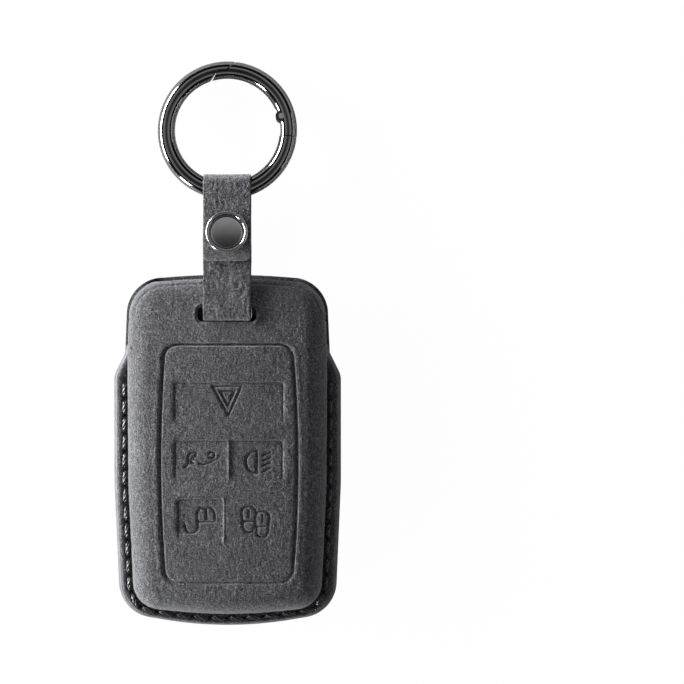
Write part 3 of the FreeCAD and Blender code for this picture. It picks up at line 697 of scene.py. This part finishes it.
def add_bump(tree, surface, layers):
    """Bumps from (field, strength, height in millimetres), one on another."""
    under = None
    for field, strength, height in layers:
        bump = tree.nodes.new("ShaderNodeBump")
        set_inputs(bump, {"Strength": strength, "Distance": height * MM})
        tree.links.new(field, bump.inputs["Height"])
        if under:
            tree.links.new(under, bump.inputs["Normal"])
        under = bump.outputs["Normal"]
    tree.links.new(under, surface.inputs["Normal"])


def toned(tree, surface, field, low, high, blue=1.04):
    """The base colour runs from one grey to another over a field."""
    colour = ramp(tree, field, [(0.3, grey(low, blue)), (0.7, grey(high, blue))])
    tree.links.new(colour, surface.inputs["Base Color"])


def suede_material(name, level, grain, contrast, bump, sheen):
    """Brushed suede: a short nap that is mottled where it has been stroked."""
    inputs = {"Roughness": 0.93, "Specular IOR Level": 0.12, "Sheen Weight": sheen}
    inputs |= {"Sheen Roughness": 0.55, "Sheen Tint": (0.75, 0.76, 0.8, 1)}
    material, tree, surface = new_material(name, level, inputs)
    dark, pale = 1 - 0.75 * contrast, 1 + 1.6 * contrast
    fine = noise(tree, grain, 4.0)
    strokes = noise(tree, grain * 2.2, 2.0, (1.0, 0.45, 1.0))
    patches = noise(tree, 9.0, 3.0)
    fibres = ramp(tree, fine, [(0.36, grey(level * dark)), (0.5, grey(level)), (0.66, grey(level * pale))])
    stroked = ramp(tree, strokes, [(0.3, grey(0.62)), (0.7, grey(1.4, 1.0))])
    worn = ramp(tree, patches, [(0.3, grey(0.85, 1.0)), (0.7, grey(1.15, 1.0))])
    colour = mixed(tree, "MULTIPLY", 1.0, fibres, stroked)
    colour = mixed(tree, "MULTIPLY", 1.0, colour, worn)
    tree.links.new(colour, surface.inputs["Base Color"])
    add_bump(tree, surface, [(strokes, 0.6 * bump, 0.4), (fine, bump, 0.36)])
    return material


def smooth_material(name, level, low, high, layers, inputs):
    """A grey that runs from low to high; layers are (lump size, detail, bump strength, bump height)."""
    material, tree, surface = new_material(name, level, inputs)
    fields = [noise(tree, size, detail) for size, detail, _, _ in layers]
    toned(tree, surface, fields[0], low, high)
    add_bump(tree, surface, [(field, *layer[2:]) for field, layer in zip(fields, layers)])
    return material


def metal_material(name, level, roughness, smudge):
    """Plated metal with faint handling marks in its gloss."""
    tint = 1.02
    inputs = {"Roughness": roughness, "Metallic": 1.0}
    material, tree, surface = new_material(name, level, inputs, tint)
    marks = noise(tree, 5.0, 4.0)
    gloss = tree.nodes.new("ShaderNodeMapRange")
    limits = {"From Min": 0.35, "From Max": 0.75, "To Min": roughness, "To Max": roughness + smudge}
    set_inputs(gloss, limits)
    tree.links.new(marks, gloss.inputs["Value"])
    tree.links.new(gloss.outputs["Result"], surface.inputs["Roughness"])
    toned(tree, surface, marks, level * 0.92, level * 1.08, tint)
    add_bump(tree, surface, [(noise(tree, 1.6, 1.0), 0.04, 0.05)])
    return material


SUEDE_FACE = suede_material("charcoal_suede", 0.08, 0.42, 1.15, 1.0, 0.95)
STRAP_FACE = suede_material("strap_suede", 0.095, 0.5, 1.0, 1.0, 0.9)
CLOTH_INPUTS = {"Roughness": 0.8, "Specular IOR Level": 0.2, "Sheen Weight": 0.12}
LINING = smooth_material("lining_cloth", 0.022, 0.014, 0.032, [(0.3, 3.0, 0.35, 0.08)], CLOTH_INPUTS)
EDGE_LAYERS = [(2.4, 2.0, 0.25, 0.2), (0.5, 3.0, 0.15, 0.05)]  # ripples and dust
EDGE_INPUTS = {"Roughness": 0.46, "Specular IOR Level": 0.5}
EDGE = smooth_material("edge_paint", 0.17, 0.14, 0.2, EDGE_LAYERS, EDGE_INPUTS)
WAX_INPUTS = {"Roughness": 0.34, "Specular IOR Level": 0.75, "Coat Weight": 0.5, "Coat Roughness": 0.25}
THREAD = smooth_material("waxed_thread", 0.015, 0.009, 0.035, [(0.14, 3.0, 0.4, 0.05)], WAX_INPUTS)
RING_METAL = metal_material("ring_black_nickel", 0.3, 0.06, 0.05)
CAP_METAL = metal_material("cap_black_nickel", 0.55, 0.1, 0.06)
SNAP_METAL = metal_material("snap_nickel", 0.32, 0.22, 0.1)
PIN_METAL = metal_material("pin_steel", 0.65, 0.38, 0.1)


# ------------------------------------------------------------------ shells made
def skin(half, ring, across, along, outside, inside, shares, step, relief):
    """A closed layer of a moulded half between two insets, with its strap slot."""
    outer, faces, keep, way, place = half.sheet(ring, outside, across, along, shares, step)
    inner = half.sheet(ring, inside, across, along, shares, step)[0]
    normals = vertex_normals(outer, np.array(faces)) * half.outwards
    outer = outer + normals * relief(outer, way, place)[:, None]
    return slab(outer, inner, faces, keep)


def vertex_normals(verts, quads):
    a, b, c, d = (verts[quads[:, i]] for i in range(4))
    normal = np.cross(c - a, d - b)
    total = np.zeros_like(verts)
    for i in range(4):
        np.add.at(total, quads[:, i], normal)
    return total / np.maximum(np.linalg.norm(total, axis=1), 1e-12)[:, None]


def edge_crease(verts, way):
    """A fine dotted crease a little inside the front's edge, above the shoulders."""
    high = smooth(COVER_LENGTH - 24, COVER_LENGTH - 20, verts[:, 1])
    dots = 0.7 + 0.3 * np.sin(2 * math.pi * (verts[:, 0] - verts[:, 1]) / 1.5)
    edge = outline(FRONT.plan)[0]
    inside = np.full(len(verts), 99.0)
    near = np.where((high > 0) & (way < IN_FIELD))[0]
    inside[near] = [np.hypot(edge[:, 0] - x, edge[:, 1] - y).min() for x, y in verts[near, :2]]
    return -0.3 * high * dots * hump(inside - CREASE_INSET, 0.26)


def wall_pull(way, place):
    """The seam draws the wall's foot in at each stitch."""
    return -0.2 * near_hole(place) * smooth(3.2, 0.2, way) + 0.06 * smooth(3.5, 1.0, way)


def front_relief(verts, way, place):
    field = way == IN_FIELD
    depth = np.zeros(len(verts))
    depth[field] = panel_relief(verts[field, :2]) + lip(verts[field, :2], SLOT)
    return depth + edge_crease(verts, way) + wall_pull(way, place) + nap(verts, 0.085, 0.75)


def back_relief(verts, way, place):
    field = way == IN_FIELD
    depth = np.zeros(len(verts))
    depth[field] = lip(verts[field, :2], BACK_SLOT)
    return depth * 0.6 + wall_pull(way, place) + nap(verts, 0.04) - 0.06


def no_relief(verts, way, place):
    return np.zeros(len(verts))


def rim_sections(half, ring, rim, profile):
    """A closed strip along the rim: profile gives (out, height) points for each width."""
    base, normal = rim_part(*ring)
    width = reach_to(base, -normal, rim)
    to_seam = reach_to(base, -normal, rim_plan(0.0, 0.0, UPPER_HALF)) - seam_inset(normal)
    width = np.where(width < 0.05, -0.15, width)
    place = seam_place(base - normal * np.maximum(to_seam, 0)[:, None])
    outs, heights = profile(width[:, None], to_seam[:, None], place[:, None])
    outs = np.minimum(np.maximum(outs, -0.4), np.maximum(width[:, None], -0.4))
    plan = base[:, None, :] - normal[:, None, :] * outs[:, :, None]
    z = PARTING + half.outwards * np.broadcast_to(heights, outs.shape)
    return np.concatenate([plan, z[:, :, None]], axis=2)


def rim_part(base, normal):
    """The part of an outline that the rim stands on, from the left shoulder round the bottom."""
    on_side = (normal[:, 1] > FACES_RING) & (base[:, 1] < COVER_LENGTH - SHOULDER_IN + 2.5)
    index = np.where(on_side)[0]
    split = np.where(np.diff(index) > 1)[0]
    index = np.concatenate([index[split[0] + 1:], index[:split[0] + 1]])
    return base[index], normal[index]


TURNED_EDGE = 0.62  # width over which the flange's suede turns down


def suede_flange(width, to_seam, place):
    """The stitched flange: channel at the wall, a crowned pad outside it and a turned edge."""
    zero = np.zeros_like(width)
    at = [zero - 0.4, zero + 0.03, zero + 0.35]
    at += [to_seam + step for step in (-0.7, -0.45, -0.22, 0.0, 0.22, 0.45, 0.7, 0.95)]
    at += [width - step for step in (0.8, 0.55, 0.34, 0.18, 0.07, 0.01, 0.0, 0.02)]
    at = np.concatenate(at, axis=1)
    hole = near_hole(place)
    channel = 0.68 * smooth(0.9, 2.0, width) * smooth(0.95, 0.5, at - to_seam)
    channel = channel + 0.22 * hole * hump(at - to_seam, 0.6)
    crown = 0.06 * hump(at - to_seam - 1.25, 0.4) * (1.1 - 0.5 * hole)
    fall = 0.13 * smooth(0.2, 1.5, width - at)
    height = LAMINATE - channel + crown - fall * smooth(0.9, 2.0, width)
    inwards = np.clip(width - at, 0, 0.8)
    over = np.clip(1 - inwards / TURNED_EDGE, 0, 1)
    height = height - TURNED_EDGE * 0.9 * (1 - np.sqrt(1 - np.minimum(over, 0.999) ** 2))
    height[:, -2:] = [LAMINATE - 0.75, LAMINATE - SUEDE + 0.02]
    low = np.concatenate([zero + LAMINATE - SUEDE, zero + LAMINATE - SUEDE], axis=1)
    under = np.concatenate([width - 0.6, zero - 0.4], axis=1)
    return np.concatenate([at, under], axis=1), np.concatenate([height, low], axis=1)


def lining_flange(width, to_seam, place):
    zero = np.zeros_like(width)
    at = [zero - 0.4, width - 0.12, width - 0.04, width - 0.04, width - 0.12, zero - 0.4]
    top = LAMINATE - SUEDE
    return np.concatenate(at, axis=1), np.array([[top, top, top - 0.1, 0.12, 0.02, 0.02]])


def coated_edge(width, to_seam, place):
    """The sealed bead round the back's rim, seen as a smooth band outside the front's."""
    front = width - 0.95
    at = [front, front + 0.1, front + 0.3, width - 0.45, width - 0.25, width - 0.08, width]
    at += [width, width - 0.05, width - 0.2, width - 0.42, width - 0.42, width - 0.42]
    heights = [1.42, 1.46, 1.34, 1.08, 0.72, 0.2, -0.3, -1.4, -1.62, -1.78, -1.84, -0.9, -0.06]
    return np.concatenate(at, axis=1), np.array([heights])


def add_rim(parts, half, ring, rim, profile, roughness=0.0):
    sections = rim_sections(half, ring, rim, profile)
    if roughness:
        flat = sections.reshape(-1, 3)
        lift = nap(flat, roughness)[:, None] * [[0.3, 0.3, 1.0]]
        sections = (flat + lift).reshape(sections.shape)
    parts.add(*loft(sections))


def wall_shares(foot, above):
    """Shares of the way up a wall: so many points at its foot and so many above it."""
    return np.concatenate([np.linspace(0, 0.24, foot), np.linspace(0.24, 1, above)[1:]])


def make_shells():
    fine, middle, coarse = (208, 416), (120, 240), (76, 150)  # steps across and along the field
    front_rim = rim_plan(*FRONT_STEP, UPPER_HALF - 0.8)
    back_rim = rim_plan(0.3, 0.3, UPPER_HALF - 0.3)
    suede = (0.0, SUEDE, suede_flange, SUEDE_FACE, "suede")
    lining = (SUEDE + 0.02, LAMINATE, lining_flange, LINING, "lining")
    front_wall, back_wall, inner_wall = wall_shares(14, 30), wall_shares(14, 17), wall_shares(6, 9)
    pieces = {
        "front_suede": ("front_shell", FRONT, front_rim, suede, fine, front_wall, 0.22, front_relief, 0.05),
        "front_inner": ("front_lining", FRONT, front_rim, lining, coarse, inner_wall, 0.6, no_relief, 0.0),
        "back_suede": ("back_shell", BACK, back_rim, suede, middle, back_wall, 0.4, back_relief, 0.04),
        "back_inner": ("back_lining", BACK, back_rim, lining, coarse, inner_wall, 0.6, no_relief, 0.0),
    }
    for name, (node, half, rim, layer, grid, shares, step, relief, roughness) in pieces.items():
        outside, inside, flange, material, slot = layer
        ring = ring_of(half.plan, *grid)
        parts = Parts()
        parts.add(*skin(half, ring, *grid, outside, inside, shares, step, relief))
        add_rim(parts, half, ring, rim, flange, roughness)
        make_mesh(name, parts.points(), parts.faces, "cover", material, slot, [node])
    parts = Parts()
    add_rim(parts, FRONT, ring_of(FRONT.plan, *fine), rim_plan(0.0, 0.0, UPPER_HALF), coated_edge)
    make_mesh("edge_bead", parts.points(), parts.faces, "cover", EDGE, "edge_paint", ["edge_coating"])


# ------------------------------------------------------------------ thread
PLY_RADIUS = 0.36
TWIST_RADIUS = 0.33
TWIST_PITCH = 5.2


def stitch_arch():
    """One stitch in the plane of its seam: (along, height) from hole to hole."""
    low = [(0.5, 0.35), (0.5, 1.2), (0.95, 1.95), (1.7, 2.2)]
    points = np.array(low + [(PITCH - a, h) for a, h in reversed(low)])
    for _ in range(3):
        first = points[:-1] * 0.75 + points[1:] * 0.25
        second = points[:-1] * 0.25 + points[1:] * 0.75
        middle = np.stack([first, second], axis=1).reshape(-1, 2)
        points = np.vstack([points[:1], middle, points[-1:]])
    length = lengths(points)
    at = np.linspace(0, length[-1], 44)
    return np.column_stack([np.interp(at, length, points[:, 0]), np.interp(at, length, points[:, 1])]), at


def twisted_stitch(parts, index, outwards):
    arch, length = stitch_arch()
    along = index * PITCH + arch[:, 0]
    x, y = on_seam(along).T
    ahead = on_seam(along + 0.3) - on_seam(along - 0.3)
    ahead /= np.linalg.norm(ahead, axis=1)[:, None]
    across = np.column_stack([-ahead[:, 1], ahead[:, 0], np.zeros(len(x))])
    slant = 0.22 * np.cos(math.pi * arch[:, 0] / PITCH)
    centre = np.column_stack([x, y, PARTING + outwards * arch[:, 1]]) + across * slant[:, None]
    run = np.gradient(centre, axis=0)
    run /= np.linalg.norm(run, axis=1)[:, None]
    square = np.cross(run, across)
    girth = 0.6 + 0.4 * smooth(0.4, 1.5, np.minimum(arch[:, 0], PITCH - arch[:, 0]))
    for ply in range(3):
        turn = 2 * math.pi * (ply / 3 + length / TWIST_PITCH + index * 0.37)
        spoke = np.cos(turn)[:, None] * across + np.sin(turn)[:, None] * square
        middle = centre + TWIST_RADIUS * girth[:, None] * spoke
        sides = np.linspace(0, 2 * math.pi, 8)[:-1, None]
        wall = np.cos(sides) * across[:, None] + np.sin(sides) * square[:, None]
        parts.add(*loft(middle[:, None] + PLY_RADIUS * girth[:, None, None] * wall))


def make_thread(name, outwards, node):
    parts = Parts()
    for index in range(STITCH_COUNT):
        twisted_stitch(parts, index, outwards)
    make_mesh(name, parts.points(), parts.faces, "cover", THREAD, "thread", [node])


# ------------------------------------------------------------------ strap
def direction(degrees):
    angle = math.radians(degrees)
    return np.array([math.cos(angle), math.sin(angle)])


def crossing(point_a, run_a, point_b, run_b):
    across = run_a[0] * run_b[1] - run_a[1] * run_b[0]
    gap = point_b - point_a
    return point_a + run_a * ((gap[0] * run_b[1] - gap[1] * run_b[0]) / across)


def strap_points():
    """The strap's route in (Y, Z) from its tail under the flap to the flap's end."""
    ring_outer = RING_RADIUS + WIRE_RADIUS
    inner_at_edge = math.sqrt((RING_RADIUS - WIRE_RADIUS) ** 2 - STRAP_HALF**2)
    loop_radius = (ring_outer - inner_at_edge) / 2 + RING_IN_LOOP + STRAP / 2
    along = direction(-STRAP_SLOPE)
    up = direction(90 - STRAP_SLOPE)
    bend = FRONT.edge_radius
    edge_y = COVER_LENGTH - FRONT_TOP_STEP - bend
    surface = THICKNESS - (edge_y - FRONT.break_y) * math.tan(FRONT.slope)
    on_edge = np.array([edge_y, surface - bend / math.cos(FRONT.slope)])
    on_front = on_edge + up * (bend + STRAP_TO_COVER + STRAP / 2)
    on_flap = on_front + up * (STRAP + SNAP_GAP)
    loop_y = COVER_LENGTH + LOOP_ABOVE_COVER
    flap_root = on_flap + along * ((loop_y + loop_radius * up[0] - on_flap[0]) / along[0])
    loop = flap_root - up * loop_radius
    slot_y = COVER_LENGTH - SLOT_DOWN
    edge = slot_y + SLOT[1]
    back_z = (edge - BACK.break_y) * math.tan(BACK.slope)
    on_back = np.array([edge, back_z - (STRAP_TO_COVER + STRAP / 2) / math.cos(BACK.slope)])
    to_loop = loop - on_back
    distance = np.linalg.norm(to_loop)
    rear = direction(math.degrees(math.atan2(to_loop[1], to_loop[0]) - math.asin(loop_radius / distance)))
    through = np.array([slot_y - SLOT[1] + STRAP_IN_SLOT + STRAP / 2, 0.0])
    down = np.array([0.0, -1.0])
    snap = flap_root - along * (FLAP_LENGTH - STUD_FROM_FLAP_END)
    seat = snap - up * (STRAP / 2 + SNAP_GAP + STRAP)
    points = [
        seat + up * (STRAP / 2) + along * STRAP_TAIL,
        crossing(through, down, on_front, along),
        crossing(through, down, on_back, rear),
        crossing(on_back, rear, flap_root, along),
        flap_root - along * FLAP_LENGTH,
    ]
    return points, [0.0, STRAP_BEND, STRAP_BEND, loop_radius, 0.0], seat, flap_root


STRAP_ROUTE, STRAP_RADII, SNAP_SEAT, FLAP_ROOT = strap_points()


def strap_stations():
    """Places and left-hand normals along the strap's middle line, every 0.4 mm or closer."""
    places, normals = [], []
    previous = STRAP_ROUTE[0]
    for i in range(1, len(STRAP_ROUTE)):
        before = STRAP_ROUTE[i] - STRAP_ROUTE[i - 1]
        before = before / np.linalg.norm(before)
        left = np.array([-before[1], before[0]])
        if i == len(STRAP_ROUTE) - 1:
            stop = STRAP_ROUTE[i]
        else:
            after = STRAP_ROUTE[i + 1] - STRAP_ROUTE[i]
            after = after / np.linalg.norm(after)
            turn = math.atan2(before[0] * after[1] - before[1] * after[0], before @ after)
            stop = STRAP_ROUTE[i] - before * STRAP_RADII[i] * math.tan(abs(turn) / 2)
        steps = max(2, int(np.linalg.norm(stop - previous) / 0.4))
        for share in np.linspace(0, 1, steps + 1):
            places.append(previous + (stop - previous) * share)
            normals.append(left)
        if i == len(STRAP_ROUTE) - 1:
            break
        side = math.copysign(1.0, turn)
        centre = stop + left * side * STRAP_RADII[i]
        steps = max(6, int(abs(turn) * STRAP_RADII[i] / 0.3))
        for share in np.linspace(0, 1, steps + 1)[1:]:
            angle = turn * share
            spun = np.array([
                left[0] * math.cos(angle) - left[1] * math.sin(angle),
                left[0] * math.sin(angle) + left[1] * math.cos(angle),
            ])
            places.append(centre - spun * side * STRAP_RADII[i])
            normals.append(spun)
        previous = places[-1]
    places, normals = np.array(places), np.array(normals)
    keep = np.concatenate([[True], np.hypot(*np.diff(places, axis=0).T) > 1e-4])
    return places[keep], normals[keep]


def end_curve(distance, radius):
    """How much a rounded corner takes off the half width at a distance from the end."""
    inside = np.clip(radius - distance, 0, radius)
    return radius - np.sqrt(np.maximum(radius**2 - inside**2, 0))


def strap_layer(places, normals, low, high, rounding, start_corner, end_corner, roughness):
    """One closed layer of the strap: low and high are its distances to the left of the route."""
    length = lengths(places)
    half = np.full(len(places), STRAP_HALF)
    if start_corner:
        half = half - end_curve(length, start_corner)
    if end_corner:
        half = half - end_curve(length[-1] - length, end_corner)
    from_end = length[-1] - length
    at_end = np.clip(1 - from_end / DROOP_LENGTH, 0, 1) if end_corner else np.zeros(len(places))
    droop = DROOP * at_end**3
    pulled = smooth(FLAP_ROOT[0] + 0.8, FLAP_ROOT[0] + 3.8, places[:, 0])
    outer = low + np.zeros(len(places))
    glued = high + THINNED[1] * pulled + SKIVED[1] * at_end**2
    if low < 0:
        outer += THINNED[0] * pulled + SKIVED[0] * at_end**2
    else:
        outer -= SKIVED[2] * at_end**2
    seed = np.column_stack([np.zeros(len(places)), places])
    wave = 0.07 * fuzz(seed + 3.1, 3.0)
    half = half + wave
    into = math.copysign(rounding, high - low)
    across = np.linspace(-1, 1, 41)
    turns = np.linspace(0, math.pi / 2, 5)
    rows = []
    for a in across:
        rows.append((a * (half - rounding), outer, 1.0))
    for t in turns[1:]:
        rows.append((half - rounding + rounding * math.sin(t), outer + into * (1 - math.cos(t)), 0.6))
    rows.append((half - 0.03, glued, 0.2))
    for a in across[::-4][1:-1]:
        rows.append((a * (half - rounding), glued, 0.4))
    rows.append((-half + 0.03, glued, 0.2))
    for t in turns[:0:-1]:
        rows.append((-half + rounding - rounding * math.sin(t), outer + into * (1 - math.cos(t)), 0.6))
    x = np.stack([r[0] for r in rows], axis=1)
    off = np.stack([r[1] for r in rows], axis=1) + droop[:, None]
    weight = np.array([r[2] for r in rows])
    y = places[:, :1] + normals[:, :1] * off
    z = places[:, 1:] + normals[:, 1:] * off
    sections = np.stack([x, y, z], axis=2)
    flat = sections.reshape(-1, 3)
    lift = nap(flat, roughness, 0.62).reshape(x.shape) * weight[None, :]
    sag = 0.1 * fuzz(flat + 9.0, 7.0).reshape(x.shape)
    shift = lift + sag * smooth(COVER_LENGTH + 2.0, COVER_LENGTH + 6.0, y)
    side = 1.0 if low > high else -1.0
    sections[:, :, 1] += side * normals[:, :1] * shift
    sections[:, :, 2] += side * normals[:, 1:] * shift
    return loft(sections)


def make_strap():
    places, normals = strap_stations()
    top = int(np.argmax(places[:, 0]))
    glue = -STRAP / 2 + STRAP_SUEDE
    layers = {
        "strap_face": (slice(0, top + 1), -STRAP / 2, glue, 0.3, 2.2, 0, 0.22, STRAP_FACE, "strap_suede"),
        "strap_inner": (slice(0, top + 1), STRAP / 2, glue, 0.12, 2.4, 0, 0.02, LINING, "strap_lining"),
        "flap_face": (slice(top, None), -STRAP / 2, glue, 0.3, 0, 1.6, 0.22, STRAP_FACE, "flap_suede"),
        "flap_inner": (slice(top, None), STRAP / 2, glue, 0.12, 0, 1.8, 0.02, LINING, "flap_lining"),
    }
    for name, (part, low, high, rounding, start, end, roughness, material, node) in layers.items():
        made = strap_layer(places[part], normals[part], low, high, rounding, start, end, roughness)
        slot = "strap_suede" if material is STRAP_FACE else "lining"
        if name.startswith("strap"):
            make_mesh(name, *made, "cover", material, slot, [node])
        else:
            piece = make_mesh(name, *made, None, material, slot, [node])
            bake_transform(piece)


# ------------------------------------------------------------------ snap cap
CAP_LOW = 2 * STRAP + SNAP_GAP  # from the snap's seat to the flap's face
CAP_SHELL = 0.45


def cap_profile():
    """(radius, height above the flap) from the post under the flap to the middle of the disc."""
    under = -STRAP - CAP_SHELL
    points = [(0.0, under), (1.55, under), (1.7, -STRAP - 0.3), (1.7, 0.0), (5.55, 0.0)]
    round_bead = np.radians(np.linspace(-55, 160, 20))
    points += [(5.52 + 0.6 * math.cos(a), 0.78 + 0.72 * math.sin(a)) for a in round_bead]
    points += [(4.86, 0.72), (4.8, 0.66), (4.72, 0.68), (4.68, 0.78), (4.64, 0.98), (4.5, 1.08)]
    points += [(r, 1.08 + 0.22 * (1 - (r / 4.5) ** 2)) for r in np.linspace(4.1, 0.0, 9)]
    return points


def make_cap():
    profile = cap_profile()
    turns = np.linspace(0, 2 * math.pi, 129)[:-1]
    lean = math.radians(STRAP_SLOPE)
    verts, faces, rings = [], [], []
    for radius, height in profile:
        if radius == 0:
            rings.append([len(verts)])
            verts.append((0.0, 0.0, CAP_LOW + height))
            continue
        rings.append(list(range(len(verts), len(verts) + len(turns))))
        verts += [(radius * math.cos(t), radius * math.sin(t), CAP_LOW + height) for t in turns]
    for low, high in zip(rings, rings[1:]):
        for j in range(len(turns)):
            k = (j + 1) % len(turns)
            if len(low) == 1:
                faces.append((low[0], high[k], high[j]))
            elif len(high) == 1:
                faces.append((low[j], low[k], high[0]))
            else:
                faces.append((low[j], low[k], high[k], high[j]))
    points = np.array(verts)
    y = points[:, 1] * math.cos(lean) + points[:, 2] * math.sin(lean) + SNAP_SEAT[0]
    z = -points[:, 1] * math.sin(lean) + points[:, 2] * math.cos(lean) + SNAP_SEAT[1]
    placed = np.column_stack([points[:, 0], y, z])
    make_mesh("snap_button", placed, faces, "flap", CAP_METAL, "cap_metal", ["snap_cap"])


# ------------------------------------------------------------------ metal that stays as it is
def finish_nodes():
    finishes = {
        "ring_body": RING_METAL,
        "ring_gate": RING_METAL,
        "gate_pin": PIN_METAL,
        "gate_spring": PIN_METAL,
        "snap_post": SNAP_METAL,
        "snap_stud": SNAP_METAL,
        "snap_socket": SNAP_METAL,
        "snap_socket_spring": PIN_METAL,
    }
    for node, material in finishes.items():
        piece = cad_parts[node]
        for place in range(len(piece.material_slots)):
            piece.material_slots[place].material = material


# ------------------------------------------------------------------ stage, light and camera
# Name, place, width, height and power of each lamp.
LAMPS = [
    ("key", (-0.56, 0.2, 0.13), 0.75, 0.14, 9.1),
    ("low_left", (-0.45, -0.38, 0.16), 0.14, 0.14, 2.1),
    ("right_strip", (0.8, 0.05, 0.27), 0.8, 0.05, 0.34),
]
LAMP_TARGET = (0, 0, 0.015)


def make_lights():
    for name, place, width, height, power in LAMPS:
        data = bpy.data.lights.new(name, "AREA")
        data.energy = power
        data.shape = "RECTANGLE"
        data.size = width
        data.size_y = height
        thing = add_object(name, data)
        thing.location = place
        thing.rotation_mode = "QUATERNION"
        thing.rotation_quaternion = (Vector(LAMP_TARGET) - thing.location).to_track_quat("-Z", "Y")


def shown_to_camera(tree, plain, shown, share, output):
    """Mixes a share of one shader into another, for the rays that the camera sends."""
    seen = tree.nodes.new("ShaderNodeLightPath")
    part = tree.nodes.new("ShaderNodeMath")
    part.operation = "MULTIPLY"
    part.inputs[1].default_value = share
    mix = tree.nodes.new("ShaderNodeMixShader")
    tree.links.new(seen.outputs["Is Camera Ray"], part.inputs[0])
    tree.links.new(part.outputs[0], mix.inputs["Fac"])
    tree.links.new(plain.outputs[0], mix.inputs[1])
    tree.links.new(shown.outputs[0], mix.inputs[2])
    tree.links.new(mix.outputs[0], tree.nodes[output].inputs["Surface"])


FLOOR_HALF = 3.0
FLOOR_GREY = 0.8
FLOOR_GLOW = 1.03
FLOOR_SHOWN = 0.95  # share of the glow in what the camera sees, the rest keeps the shadow


def make_floor():
    mesh = bpy.data.meshes.new("floor")
    corners = [(x * FLOOR_HALF, y * FLOOR_HALF, 0) for x, y in ((-1, -1), (1, -1), (1, 1), (-1, 1))]
    mesh.from_pydata(corners, [], [(0, 1, 2, 3)])
    floor = add_object("floor", mesh)
    material = bpy.data.materials.new("paper")
    material.use_nodes = True
    tree = material.node_tree
    surface = tree.nodes["Principled BSDF"]
    set_inputs(surface, {"Base Color": (*grey(FLOOR_GREY, 1.0), 1), "Roughness": 0.9})
    glow = tree.nodes.new("ShaderNodeEmission")
    set_inputs(glow, {"Strength": FLOOR_GLOW})
    shown_to_camera(tree, surface, glow, FLOOR_SHOWN, "Material Output")
    mesh.materials.append(material)


# The studio's grey by height: 0 at the horizon and all below it, 1 straight above.
STUDIO = [(0.0, 0.7), (0.1, 0.6), (0.16, 0.01), (0.68, 0.01)]
STUDIO += [(0.75, 0.5), (0.86, 0.34), (0.95, 0.06), (1.0, 0.03)]


def make_world():
    """The studio's surroundings for what they light, and white for the camera."""
    world = bpy.data.worlds.new("studio")
    bpy.context.scene.world = world
    world.use_nodes = True
    tree = world.node_tree
    around = tree.nodes["Background"]
    white = tree.nodes.new("ShaderNodeBackground")
    set_inputs(white, {"Color": (1, 1, 1, 1)})
    place = tree.nodes.new("ShaderNodeTexCoord")
    parts = tree.nodes.new("ShaderNodeSeparateXYZ")
    tree.links.new(place.outputs["Generated"], parts.inputs[0])
    level = ramp(tree, parts.outputs["Z"], [(at, grey(value, 1.0)) for at, value in STUDIO])
    tree.links.new(level, around.inputs["Color"])
    set_inputs(around, {"Strength": 1.0})
    shown_to_camera(tree, around, white, 1.0, "World Output")


CAMERA_DISTANCE = 1.5
CAMERA_LENS = 275.0
CAMERA_SENSOR = 36.0
CAMERA_REACH = 20.0
CAMERA_TILT = 3.5
CAMERA_TARGET = (0.0329, 0.0007, 0.009)


def make_camera():
    data = bpy.data.cameras.new("camera")
    data.lens = CAMERA_LENS
    data.sensor_width = CAMERA_SENSOR
    data.clip_end = CAMERA_REACH
    camera = add_object("camera", data)
    tilt = math.radians(CAMERA_TILT)
    target = Vector(CAMERA_TARGET)
    back = Vector((0, math.sin(tilt), math.cos(tilt)))
    up = Vector((0, math.cos(tilt), -math.sin(tilt)))
    right = up.cross(back)
    turn = Matrix((right, up, back)).transposed()
    camera.rotation_mode = "QUATERNION"
    camera.rotation_quaternion = turn.to_quaternion()
    camera.location = target + back * CAMERA_DISTANCE
    bpy.context.scene.camera = camera


bpy.context.scene.view_settings.view_transform = "Standard"
make_camera()
make_world()
make_lights()
make_floor()
make_shells()
make_thread("front_thread", 1, "front_stitches")
make_thread("back_thread", -1, "back_stitches")
make_strap()
make_cap()
finish_nodes()
